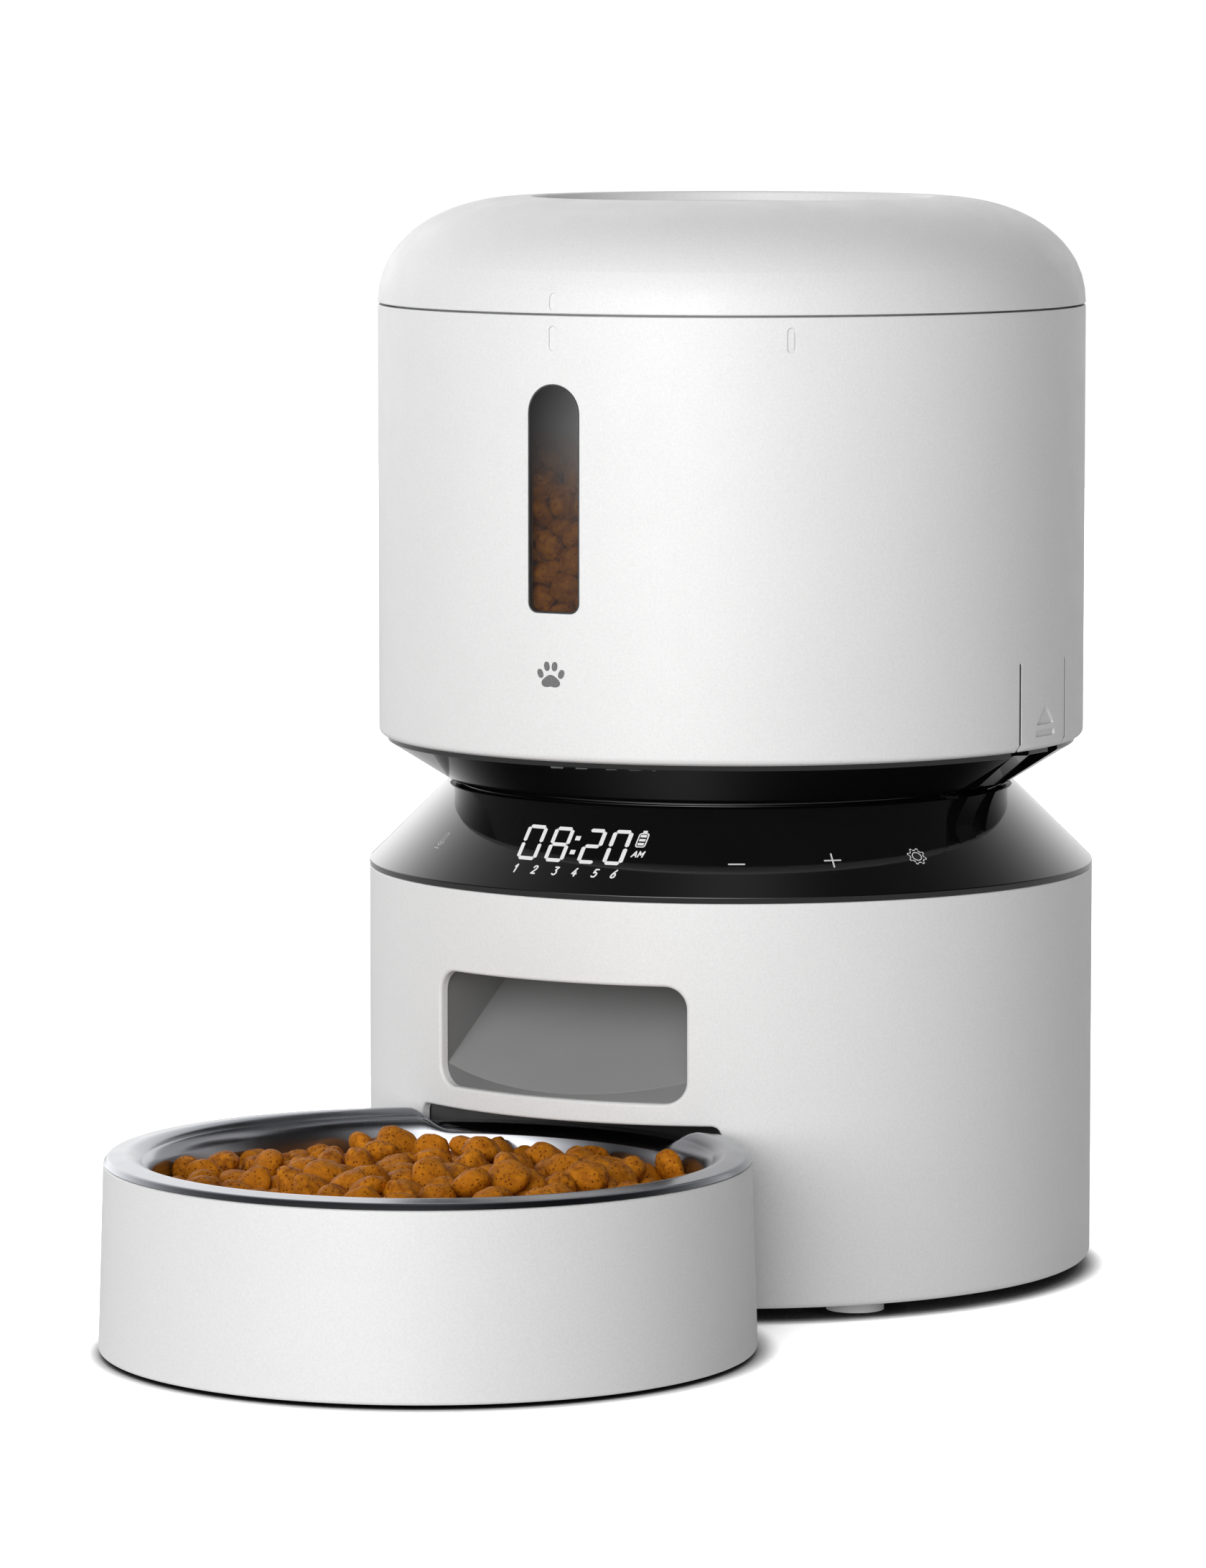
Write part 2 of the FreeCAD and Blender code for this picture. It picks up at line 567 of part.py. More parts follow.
def tab_window(name, half, top):
    """A block through the hopper wall where a release tab sits, on both sides."""
    return box(name, "-hopper_radius - 5", "hopper_radius + 5", f"-({half})", half, "hopper_edge_z - 12", top)


def lug_ring(name, outer, inner, low, high, span, start):
    """Bayonet lugs: equal ring sectors about the axis."""
    lugs = []
    for number in range(round(value("lug_count"))):
        wedge = cylinder(f"{name}_wedge_{number}", outer, low, high, angle=span)
        wedge.Placement.Rotation = Rotation(UPRIGHT, start + 360 / value("lug_count") * number)
        lugs.append(wedge)
    core = cylinder(f"{name}_core", inner, f"{low} - 1", f"{high} + 1")
    return cut(name, fuse(f"{name}_wedges", lugs), [core])


def hopper_shell():
    inner = "hopper_radius - hopper_wall"
    wall = revolved("hopper_wall_ring", [
        ("hopper_edge_radius - 2", "hopper_edge_z"),
        ("hopper_edge_radius", "hopper_edge_z"),
        ("hopper_radius", "hopper_low + 0.6", "hopper_radius - 0.9", "hopper_edge_z + 1.1"),
        ("hopper_radius", "hopper_high"),
        (inner, "hopper_high"),
        (inner, "mouth_step_high"),
        ("mouth_radius", "mouth_step_high"),
        ("mouth_radius", "mouth_step_low"),
        (inner, "mouth_step_low - 4"),
        (inner, "hopper_low + 1"),
    ])
    lugs = lug_ring("hopper_lugs", "mouth_radius + 0.5", "lug_radius", "mouth_step_low + 0.6",
                    "mouth_step_low + 2.4", "lug_span", -90 - value("lug_span") / 2)
    slot = box("window_slot", "-window_half", "window_half", "-hopper_radius - 2", "-hopper_radius + 12",
               "window_low", "window_high - window_half")
    arch = lying_cylinder("window_arch", "window_half", "-hopper_radius - 2", "14", "y",
                          "window_high - window_half")
    tabs = tab_window("tab_window_shell", "tab_half + slit", "tab_high + tab_hairline")
    keep(cut("hopper_shell", fuse("hopper_solid", [wall, lugs]), [slot, arch, tabs]))

    panel_ring = cut("panel_ring", cylinder("panel_outer", "hopper_radius", "window_low", "window_high"),
                     [cylinder("panel_inner", inner, "window_low - 1", "window_high + 1")])
    panel_slot = box("panel_slot", "-window_half + 0.05", "window_half - 0.05", "-hopper_radius - 2",
                     "-hopper_radius + 12", "window_low + 0.05", "window_high - window_half")
    panel_arch = lying_cylinder("panel_arch", "window_half - 0.05", "-hopper_radius - 2", "14", "y",
                                "window_high - window_half")
    keep(common("hopper_window", panel_ring, fuse("panel_zone", [panel_slot, panel_arch])))


def hopper_inside():
    """The funnel with its rotor chamber, the neck under it, the shelf over the port and the wiper."""
    slope = "funnel_high - funnel_mouth + chamber_radius"
    funnel = revolved("funnel_turned", [
        ("funnel_mouth", "funnel_high"),
        ("chamber_radius", slope),
        ("chamber_radius", "chamber_low + chamber_floor"),
        ("hub_hole", "chamber_low + chamber_floor"),
        ("hub_hole", "chamber_low"),
        ("chamber_radius + chamber_wall", "chamber_low"),
        ("chamber_radius + chamber_wall", f"{slope} - funnel_wall * 0.75"),
        ("funnel_mouth", "funnel_high - funnel_wall * 1.5"),
    ])
    port = box("funnel_port", "-port_half", "port_half", "-port_front", "-port_back", "chamber_low - 1",
               "chamber_low + chamber_floor + 0.2")
    reliefs = []
    for side, (near, far) in (("right", ("tab_relief", "hopper_radius")),
                              ("left", ("-hopper_radius", "-tab_relief"))):
        reliefs.append(box(f"tab_relief_{side}", near, far, "-tab_half - 1.6", "tab_half + 1.6",
                           "tab_low", "funnel_high + 1"))
    keep(cut("hopper_funnel", funnel, [port] + reliefs))

    neck = revolved("neck_turned", [
        ("neck_inner", "neck_ring_low"),
        ("neck_skirt", "neck_ring_low"),
        ("neck_skirt", "neck_low"),
        ("neck_radius", "neck_low"),
        ("hopper_edge_radius - 0.3", "hopper_edge_z - 0.2"),
        ("hopper_edge_radius - 0.3", "hopper_edge_z + 1.2"),
        ("hopper_edge_radius - 2.1", "hopper_edge_z + 1.2"),
        ("neck_radius - 0.7", "neck_low + neck_wall"),
        ("neck_skirt - neck_wall", "neck_low + neck_wall"),
        ("neck_skirt - neck_wall", "neck_ring_low + neck_wall"),
        ("neck_inner", "neck_ring_low + neck_wall"),
    ])
    edge_seat = revolved("edge_seat", [
        ("hopper_edge_radius - 2.05", "hopper_edge_z - 0.05"),
        ("hopper_edge_radius + 3", "hopper_edge_z - 0.05"),
        ("hopper_edge_radius + 3", "hopper_edge_z + 4"),
        ("hopper_edge_radius - 2.05", "hopper_edge_z + 4"),
    ])
    notches = []
    for side, (near, far) in (("right", ("notch_inner", "hopper_radius")),
                              ("left", ("-hopper_radius", "-notch_inner"))):
        notches.append(box(f"neck_notch_{side}", near, far, "-notch_half", "notch_half", "neck_ring_low - 1",
                           "hopper_edge_z + 6"))
    keep(cut("neck_cone", neck, [edge_seat] + notches))

    shelf = cylinder("shelf_wedge", "chamber_radius", "shelf_low", "shelf_high", angle="shelf_span")
    shelf.Placement.Rotation = Rotation(UPRIGHT, -90 - value("shelf_span") / 2)
    keep(cut("port_shelf", shelf, [cylinder("shelf_core", "shelf_inner", "shelf_low - 1", "shelf_high + 1")]))

    keep(box("port_wiper", "port_half - 1", "port_half + 0.4", "-50", "-port_back", "shelf_high",
             "shelf_high + 5"))


def release_tab(name, turn):
    """A sprung tongue of the hopper wall with the arm that hooks the base's catch window."""
    inner = "hopper_radius - hopper_wall"
    ring = cut(f"{name}_ring", cylinder(f"{name}_outer", "hopper_radius", "tab_low", "tab_high"),
               [cylinder(f"{name}_inner", inner, "tab_low - 1", "tab_high + 1")])
    zone = box(f"{name}_zone", "0", "hopper_radius + 5", "-tab_half", "tab_half", "tab_low", "tab_high")
    tongue = common(f"{name}_tongue", ring, zone)
    arm = padded(f"{name}_arm", "XZ_Plane", [
        (f"{inner} + 0.6", "tab_low + 0.4"),
        (f"{inner} + 0.6", "tab_low + 6"),
        (f"{inner} - 5", "tab_low + 4.4"),
        ("waist_radius - 1", "neck_low + 3"),
        ("arm_inner", "neck_low - 1"),
        ("arm_inner", "tooth_low"),
        ("arm_outer + 1", "tooth_low"),
        ("tooth_reach", "tooth_low + 2"),
        ("tooth_reach", "tooth_high"),
        ("arm_outer", "tooth_high"),
        ("arm_outer", "neck_low + 0.4"),
        ("waist_radius + 1", "neck_low + 0.4"),
        (f"{inner} - 4", "tab_low + 0.4"),
    ], "-arm_half", "arm_half")
    keep(fuse(name, [tongue, arm]), turn)


def rotor():
    """Portion rotor: a hub with vanes that sweep kibble from under the shelf to the port."""
    hub = cylinder("rotor_hub", "hub_radius", "rotor_low", "rotor_high")
    vanes, blades = [], []
    for number in range(round(value("vane_count"))):
        angle = 360 / value("vane_count") * (number + 0.5)
        vane = box(f"vane_{number}", "0", "vane_reach", "-vane_thick / 2", "vane_thick / 2", "rotor_low",
                   "rotor_high")
        blade = box(f"blade_{number}", "vane_reach + 0.02", "blade_reach - 0.1", "-blade_thick / 2",
                    "blade_thick / 2", "rotor_low", "rotor_high")
        for strip, text, start in ((vane, "-vane_thick / 2", "0"), (blade, "-blade_thick / 2",
                                                                    "vane_reach + 0.02")):
            strip.Placement.Rotation = Rotation(UPRIGHT, angle)
            bind(strip, "Placement.Base.x", f"({start}) * cos({angle}) - ({text}) * sin({angle})")
            bind(strip, "Placement.Base.y", f"({start}) * sin({angle}) + ({text}) * cos({angle})")
        vanes.append(vane)
        blades.append(blade)
    socket = cylinder("rotor_socket", "shaft_radius + 0.3", "rotor_low - 1", "shaft_high + 0.6")
    keep(cut("portion_rotor", fuse("rotor_solid", [hub] + vanes), [socket]))
    keep(group("rotor_blades", blades))

    cap = revolved("cap_turned", [
        ("0", "cap_low"),
        ("hub_radius", "cap_low"),
        ("hub_radius", "cap_low + 3"),
        ("hub_radius * 0.7", "cap_high - 5"),
        ("hub_radius * 0.25", "cap_high"),
        ("0", "cap_high"),
    ])
    fingers = []
    for number in range(3):
        angle = 120 * number
        finger = box(f"finger_{number}", "0", "28", "-1.8", "1.8", "shelf_high + 2.6", "shelf_high + 6")
        finger.Placement.Rotation = Rotation(UPRIGHT, angle)
        bind(finger, "Placement.Base.x", f"1.8 * sin({angle})")
        bind(finger, "Placement.Base.y", f"-1.8 * cos({angle})")
        fingers.append(finger)
    keep(fuse("stirring_cap", [cap] + fingers))


# ---- lid -----------------------------------------------------------------------------------------

def lid():
    """Lid shell with a finger dish, the bayonet liner with its desiccant box, and the seal."""
    keep(made("lid_shell", lid_shape()))

    liner = revolved("liner_turned", [
        ("box_radius", "box_low"),
        ("box_radius + box_wall", "box_low"),
        ("box_radius + box_wall", "liner_plate"),
        ("skirt_radius - skirt_wall", "liner_plate"),
        ("skirt_radius - skirt_wall", "key_low"),
        ("skirt_radius", "key_low"),
        ("skirt_radius", "lid_low - 2"),
        ("seal_outer - 0.6", "lid_low - 2"),
        ("seal_outer - 0.6", "lid_low - 0.1"),
        ("box_radius", "lid_low - 0.1"),
    ])
    keys = lug_ring("liner_keys", "key_radius", "skirt_radius - 0.5", "key_low", "key_high", "key_span",
                    -90 - value("key_span") / 2)
    keep(fuse("lid_liner", [liner, keys]))

    keep(revolved("lid_seal", [
        ("seal_inner", "seal_low"),
        ("seal_outer", "seal_low"),
        ("seal_outer", "seal_high"),
        ("seal_inner + 1", "seal_high"),
        ("seal_inner", "seal_high - 1.5"),
    ]))

    plate = cylinder("vent_plate", "box_radius - 0.3", "box_low", "box_low + vent_cover")
    slots = []
    for number in range(6):
        angle = 60 * number
        slot = cylinder(f"vent_{number}", "2.2", "box_low - 1", "box_low + vent_cover + 1",
                        f"18 * cos({angle})", f"18 * sin({angle})")
        slots.append(slot)
    grip = box("vent_grip", "-9", "9", "-1.2", "1.2", "box_low - 3", "box_low + 0.2")
    keep(fuse("desiccant_cover", [cut("vent_disc", plate, slots), grip]))
    keep(cylinder("desiccant_sachet", "sachet_radius", "box_low + vent_cover + 0.6", "lid_low - 1.4"))


def lid_shape():
    """A hollow crown: elliptical shoulder, flat top ring and a dish sunk in the middle."""
    radius, low, high = value("hopper_radius"), value("lid_low"), value("lid_high")
    corner, wall = value("lid_corner"), value("lid_wall")
    dish, floor = value("dish_radius"), value("dish_floor")

    def shoulder(inset):
        ellipse = Part.Ellipse(Vector(corner, 0, low), radius - corner - inset, high - low - inset)
        arc = Part.ArcOfEllipse(ellipse, 0, math.pi / 2)
        edge = arc.toShape()
        edge.rotate(Vector(corner, 0, low), Vector(1, 0, 0), 90)
        return edge

    def line(start, end):
        return Part.makeLine(Vector(start[0], 0, start[1]), Vector(end[0], 0, end[1]))

    outline = Part.Wire(Part.__sortEdges__([
        shoulder(0),
        line((corner, high), (dish + 0.6, high)),
        line((dish + 0.6, high), (dish, high - 0.6)),
        line((dish, high - 0.6), (dish - 3, floor)),
        line((dish - 3, floor), (0, floor)),
        line((0, floor), (0, floor - wall)),
        line((0, floor - wall), (dish - 1.4, floor - wall)),
        line((dish - 1.4, floor - wall), (corner, high - wall)),
        shoulder(wall),
        line((radius - wall, low), (radius, low)),
    ]))
    return Part.Face(outline).revolve(Vector(0, 0, 0), UPRIGHT, 360)


# ---- build, check and write ----------------------------------------------------------------------

def check_document():
    """Stop unless every object recomputed cleanly and every sub-part is one or more valid solids."""
    for thing in doc.Objects:
        if "Invalid" in thing.State or "Error" in thing.State:
            raise RuntimeError(f"{thing.Name} failed to recompute: {thing.State}")
    for part in parts:
        if part.Shape.isNull() or not part.Shape.isValid() or not part.Shape.Solids:
            raise RuntimeError(f"{part.Label} has no valid solid")


def main():
    base_shell()
    control_cone()
    deck()
    chute()
    bowl_bay()
    bottom_cover()
    base_feet()
    cover_screws()
    battery_parts()
    drive()
    electronics()
    bowl()
    hopper_shell()
    hopper_inside()
    release_tab("release_tab_right", 0)
    release_tab("release_tab_left", 180)
    rotor()
    lid()
    doc.recompute()
    check_document()
    os.makedirs("parts", exist_ok=True)
    for part in parts:
        part.Shape.exportStep(f"parts/{part.Label}.step")
        bounds = part.Shape.BoundBox
        print(f"{part.Label:18s} solids {len(part.Shape.Solids)}  volume {part.Shape.Volume / 1000:8.2f} cm3  "
              f"z {bounds.ZMin:6.1f} to {bounds.ZMax:6.1f}")


main()
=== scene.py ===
import math
import random

import bmesh
import bpy
import numpy as np
from mathutils import Euler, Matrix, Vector, noise
from mathutils.geometry import delaunay_2d_cdt


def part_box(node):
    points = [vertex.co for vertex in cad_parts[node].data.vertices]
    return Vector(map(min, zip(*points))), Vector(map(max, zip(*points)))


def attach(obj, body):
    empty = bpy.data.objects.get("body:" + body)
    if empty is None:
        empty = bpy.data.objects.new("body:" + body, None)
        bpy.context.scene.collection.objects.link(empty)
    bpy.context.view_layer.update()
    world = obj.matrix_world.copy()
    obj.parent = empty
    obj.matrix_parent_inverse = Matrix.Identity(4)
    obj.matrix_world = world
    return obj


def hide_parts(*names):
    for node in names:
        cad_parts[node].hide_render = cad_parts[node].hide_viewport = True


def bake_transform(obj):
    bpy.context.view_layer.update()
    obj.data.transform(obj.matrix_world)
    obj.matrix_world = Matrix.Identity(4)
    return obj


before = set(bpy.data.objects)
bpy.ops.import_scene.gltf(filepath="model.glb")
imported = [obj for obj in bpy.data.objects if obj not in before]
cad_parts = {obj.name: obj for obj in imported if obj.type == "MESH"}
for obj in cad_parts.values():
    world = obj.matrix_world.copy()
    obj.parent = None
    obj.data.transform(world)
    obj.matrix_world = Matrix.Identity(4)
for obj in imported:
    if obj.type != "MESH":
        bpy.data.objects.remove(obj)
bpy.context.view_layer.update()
MM = 0.001
TAU = 2 * math.pi


# ---- where things are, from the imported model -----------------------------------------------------

def axis_y(node):
    """Y in millimetres of the upright axis through the middle of a node's box."""
    low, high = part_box(node)
    return (low.y + high.y) / 2 / MM


AXIS_Y = axis_y("base_shell")
BOWL_Y = axis_y("steel_bowl") - AXIS_Y
BASE_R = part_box("base_shell")[1].x / MM
TANK_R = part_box("hopper_shell")[1].x / MM
BASE_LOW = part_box("base_shell")[0].z / MM
BASE_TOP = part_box("base_shell")[1].z / MM
TANK_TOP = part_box("hopper_shell")[1].z / MM
TANK_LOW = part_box("hopper_shell")[0].z / MM
LID_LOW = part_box("lid_shell")[0].z / MM
LID_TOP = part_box("lid_shell")[1].z / MM
WAIST_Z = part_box("control_cone")[1].z / MM
RIM_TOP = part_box("steel_bowl")[1].z / MM
RIM_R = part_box("steel_bowl")[1].x / MM
STAND_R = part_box("bowl_stand")[1].x / MM

# base: wall, outlet, the compartment behind the bowl, and the cone over it
BASE_WALL = 2.6
OUTLET_HALF, OUTLET_LOW, OUTLET_HIGH = 37.75, 56.2, 86.3
BAY_ANGLE, BAY_HIGH = 27.7, 50.5
RAMP_AT_WALL, RAMP_SLOPE = 57.1, 0.638
CONE_FOOT, CONE_TOP = (BASE_R, BASE_TOP + 1.6), (75.6, WAIST_Z - 0.35)

# hopper: wall, the tuck under it and the rows its mesh needs there, release tabs, sight window, lock marks
TANK_WALL = 2.4
TUCK_Z, TUCK_WIDE, TUCK_TALL = TANK_LOW + 3.9, 2.1, 1.9
TUCK_ROWS = [0.35, 0.7, 1.05, 1.4, 1.75, 2.1, 2.45, 2.8, 3.2]
SEAM_Z, SLIT_TOP = 165.2, 166.0
SLIT_OUT, SLIT_IN = 13.3, 12.4
WINDOW_HALF, WINDOW_LOW, WINDOW_HIGH, WINDOW_CORNER = 7.6, 180.9, 239.5, 2.7
MARK_HALF, MARK_LOW, MARK_HIGH, MARK_DEEP = 1.12, 248.0, 254.4, 0.45
UNLOCK_ANGLE = 38.43
LID_WALL = 2.4


# ---- outlines in the plane -----------------------------------------------------------------------

def rounded(corners, radii, closed=True, run=2.4, turn=12):
    """A path with round corners: points, unit normals to its left, and each point's side number.

    A radius may be the word "before" or "after": a sharp corner that belongs to that side.
    """
    corners = [np.array(c, float) for c in corners]
    count = len(corners)
    if not isinstance(radii, (list, tuple)):
        radii = [radii] * count
    points, normals, sides = [], [], []

    def left(direction):
        return np.array([-direction[1], direction[0]])

    def add(point, normal, side):
        points.append(point)
        normals.append(normal)
        sides.append(side)

    starts = {}
    ends = {}
    arcs = {}
    for i in range(count):
        here = corners[i]
        if not closed and i in (0, count - 1):
            starts[i] = ends[i] = here
            continue
        back, ahead = corners[i - 1] - here, corners[(i + 1) % count] - here
        back, ahead = back / np.linalg.norm(back), ahead / np.linalg.norm(ahead)
        if isinstance(radii[i], str):
            starts[i] = ends[i] = here
            arcs[i] = radii[i]
            continue
        half = math.acos(np.clip(back @ ahead, -1, 1)) / 2
        reach = radii[i] / math.tan(half)
        ends[i], starts[i] = here + back * reach, here + ahead * reach
        centre = here + (back + ahead) / np.linalg.norm(back + ahead) * radii[i] / math.sin(half)
        arcs[i] = (centre, -back, ahead)
    last = count if closed else count - 1
    for i in range(last):
        following = (i + 1) % count
        a, b = starts[i], ends[following]
        length = np.linalg.norm(b - a)
        direction = corners[following] - corners[i]
        direction = direction / np.linalg.norm(direction)
        pieces = max(1, round(length / run))
        own_start = not (isinstance(arcs.get(i), str) and arcs[i] == "before")
        own_end = isinstance(arcs.get(following), str) and arcs[following] == "before"
        plain_end = not isinstance(arcs.get(following), str)
        for k in range(pieces + 1):
            if k == 0 and not own_start:
                continue
            if k == pieces and not (own_end or plain_end):
                continue
            if k == pieces and length < 1e-9:
                continue
            add(a + (b - a) * k / pieces, left(direction), float(i))
        arc = arcs.get(following)
        if arc is not None and not isinstance(arc, str):
            centre, arriving, leaving = arc
            first, second = left(arriving), left(leaving)
            angle = math.atan2(first[0] * second[1] - first[1] * second[0], first @ second)
            steps = max(2, math.ceil(abs(math.degrees(angle)) / turn))
            spoke = ends[following] - centre
            for k in range(1, steps):
                a_k = angle * k / steps
                spin = np.array([[math.cos(a_k), -math.sin(a_k)], [math.sin(a_k), math.cos(a_k)]])
                add(centre + spin @ spoke, spin @ first, i + k / steps)
    return np.array(points), np.array(normals), np.array(sides)


def edge(outer, wall, inner=0.3):
    """Levels of a wall's edge, as inset along the surface and depth: a fillet, the edge, a fillet."""
    turns = np.linspace(0, math.pi / 2, 6)
    first = [(outer * (1 - math.sin(t)), outer * (1 - math.cos(t))) for t in turns]
    second = [(inner * (1 - math.cos(t)), wall - inner * (1 - math.sin(t))) for t in turns]
    return np.array(first + second)


def plain(wall):
    """Levels of an edge cut straight through, as many as edge() has."""
    return np.array([(0.0, wall * k / 11) for k in range(12)])


class Outline:
    """A path on a skin with the material on its left, and the levels of the edge there."""

    def __init__(self, path, levels):
        self.points, self.normals, sides = path
        if isinstance(levels, list):
            low, part = np.floor(sides).astype(int) % len(levels), (sides % 1.0)[:, None, None]
            levels = np.array(levels)
            self.levels = levels[low] * (1 - part) + levels[(low + 1) % len(levels)] * part
        else:
            self.levels = np.repeat(levels[None], len(sides), axis=0)

    def level(self, k):
        """Plane points and depths of level k."""
        return self.points + self.normals * self.levels[:, k, :1], self.levels[:, k, 1]

    def rings(self, skin):
        """The rings of its edge on a skin, from the outer face inwards."""
        levels = [self.level(k) for k in range(self.levels.shape[1])]
        return [skin.at(flat[:, 0], flat[:, 1], depth) for flat, depth in levels]


class Skin:
    """A surface of revolution about the feeder's axis: u is arc length at radius, v runs on the profile."""

    def __init__(self, profile, radius, v0=0.0):
        profile = np.array(profile, float)
        run = np.r_[0, np.cumsum(np.linalg.norm(np.diff(profile, axis=0), axis=1))]
        slope = np.gradient(profile, run, axis=0)
        slope /= np.linalg.norm(slope, axis=1)[:, None]
        self.profile, self.run, self.radius = profile, run + v0, radius
        self.normals = np.c_[slope[:, 1], -slope[:, 0]]

    def at(self, u, v, depth):
        """Points in millimetres about the feeder's axis."""
        r, z = (np.interp(v, self.run, self.profile[:, k]) for k in (0, 1))
        nr, nz = (np.interp(v, self.run, self.normals[:, k]) for k in (0, 1))
        size = np.hypot(nr, nz)
        r, z = r - nr / size * depth, z - nz / size * depth
        angle = np.asarray(u) / self.radius
        return np.c_[r * np.sin(angle), -r * np.cos(angle), z]

    def v_of(self, z):
        return float(np.interp(z, self.profile[:, 1], self.run))


def upright(radius, low, high):
    """The skin of an upright cylinder; v is the height."""
    return Skin(np.linspace((radius, low), (radius, high), 9), radius, low)


def inside(points, polygons):
    """Whether each point is inside the polygons, counting crossings."""
    crossings = np.zeros(len(points), int)
    for polygon in polygons:
        a, b = polygon, np.roll(polygon, -1, axis=0)
        for start in range(0, len(points), 4000):
            p = points[start:start + 4000]
            ay, by = a[None, :, 1], b[None, :, 1]
            py = p[:, 1:2]
            straddle = (ay > py) != (by > py)
            with np.errstate(divide="ignore", invalid="ignore"):
                x = a[None, :, 0] + (py - ay) * (b - a)[None, :, 0] / (by - ay)
            crossings[start:start + 4000] += (straddle & (p[:, :1] < x)).sum(1)
    return crossings % 2 == 1


def fill(polygons, extra=()):
    """Triangles between polygons: all the plane points, and index triples."""
    points = np.vstack([*polygons, np.array(extra).reshape(-1, 2)])
    edges, start = [], 0
    for polygon in polygons:
        count = len(polygon)
        edges += [(start + k, start + (k + 1) % count) for k in range(count)]
        start += count
    made = delaunay_2d_cdt([Vector(p) for p in points], edges, [], 0, 1e-6)
    out = np.array([list(v) for v in made[0]])
    triangles = np.array([list(f) for f in made[2]])
    middles = out[triangles].mean(1)
    return out, triangles[inside(middles, polygons)]


class Soup:
    """Faces of one mesh, gathered piece by piece in millimetres about the feeder's axis."""

    def __init__(self):
        self.points, self.faces, self.count = [], [], 0

    def add(self, points, faces):
        self.points.append(np.asarray(points, float))
        self.faces += [[i + self.count for i in face] for face in faces]
        self.count += len(points)

    def rings(self, rings, closed=True, wrap=False):
        """Quads between following rings of points."""
        rings = [np.asarray(r, float) for r in rings]
        count, number = len(rings[0]), len(rings)
        faces = []
        for j in range(number if wrap else number - 1):
            k = (j + 1) % number
            for i in range(count if closed else count - 1):
                n = (i + 1) % count
                faces.append([j * count + i, j * count + n, k * count + n, k * count + i])
        self.add(np.vstack(rings), faces)

    def caps(self, rings):
        """Flat faces over the first and the last ring."""
        for ring in (rings[0], rings[-1]):
            self.add(ring, [list(range(len(ring)))])

    def join(self, other):
        self.add(np.vstack(other.points), other.faces)


def panel(soup, skin, wall, outlines, around=None, pockets=(), column=2.4, row=8.0, bends=()):
    """A wall on a skin, with shaped edges.

    With around = (u low, u high) it closes on itself, and the first two outlines are its lower and upper
    edge; otherwise the first outline is its border. Column and row are the spacing of the points inside.
    Bends are the values of v where the profile turns and needs rows of its own.
    """
    for which, chosen in ((0, list(outlines) + list(pockets)), (-1, list(outlines))):
        flat = [o.level(which)[0] for o in chosen]
        if around:
            v_low, v_high = flat[0][0][1], flat[1][0][1]
            rows = np.linspace(v_low, v_high, max(2, round((v_high - v_low) / row) + 1))[1:-1]
            rows = np.array(sorted([v for v in rows if v > max(bends, default=v_low) + 1.0]
                                   + [v for v in bends if v > v_low + 0.3]))
            border = np.vstack([flat[0], [(around[1], v) for v in rows], flat[1],
                                [(around[0], v) for v in rows[::-1]]])
            polygons = [border] + flat[2:]
        else:
            polygons = flat
        low, high = polygons[0].min(0), polygons[0].max(0)
        us = np.linspace(low[0], high[0], max(3, round((high[0] - low[0]) / column) + 1))[1:-1]
        vs = np.linspace(low[1], high[1], max(3, round((high[1] - low[1]) / row) + 1))[1:-1]
        vs = [v for v in vs if v > max(bends, default=low[1]) + 1.0] + list(bends)
        grid = np.array([(u, v) for u in us for v in vs])
        grid = grid[inside(grid, polygons)]
        border_points = np.vstack(polygons)
        if len(grid):
            near = np.array([np.min(np.hypot(*(border_points - g).T)) for g in grid])
            grid = grid[near > (0.25 if len(bends) else 0.55) * column]
        points, triangles = fill(polygons, grid)
        depth = 0.0 if which == 0 else wall
        soup.add(skin.at(points[:, 0], points[:, 1], depth), triangles.tolist())
    for number, outline in enumerate(outlines):
        soup.rings(outline.rings(skin), closed=not (around and number < 2))
    for pocket in pockets:
        sink(soup, skin, pocket)


def sink(soup, skin, pocket):
    """The wall and the floor of a recess."""
    soup.rings(pocket.rings(skin))
    flat, depth = pocket.level(-1)
    points, triangles = fill([flat])
    soup.add(skin.at(points[:, 0], points[:, 1], depth[0]), triangles.tolist())


def pocket_levels(depth, soften=0.10):
    """Levels of a shallow recess: a soft upper edge and a wall."""
    turns = np.linspace(0, math.pi / 2, 4)
    first = [(soften * (1 - math.sin(t)), soften * (1 - math.cos(t))) for t in turns]
    return np.array(first + [(0.0, depth), (-0.02, depth)])


def turned(profile, segments=288, centre=(0.0, 0.0), wrap=True):
    """Rings of a closed profile of radius and height, turned about an upright axis."""
    angles = np.arange(segments) / segments * TAU
    soup = Soup()
    soup.rings([np.c_[centre[0] + r * np.sin(angles), centre[1] - r * np.cos(angles), np.full(segments, z)]
                for r, z in profile], wrap=wrap)
    return soup


def profile_of(corners, radii, closed=True, run=6.0, turn=12):
    """The points alone of a path with round corners."""
    return rounded(corners, radii, closed, run, turn)[0]


def line(start, end, v):
    """A straight path along a skin, from one u to another."""
    return rounded([(start, v), (end, v)], [0, 0], closed=False)


def rectangle(left, right, low, high):
    return [(left, low), (right, low), (right, high), (left, high)]


def swept(section, angles):
    """A section of radius and height carried round the axis, with flat ends.

    Each of the angles is a number or an array with one number for every point of the section.
    """
    rings = [np.c_[section[:, 0] * np.sin(a), -section[:, 0] * np.cos(a), section[:, 1]] for a in angles]
    soup = Soup()
    soup.rings(rings)
    soup.caps(rings)
    return soup


# ---- objects -------------------------------------------------------------------------------------

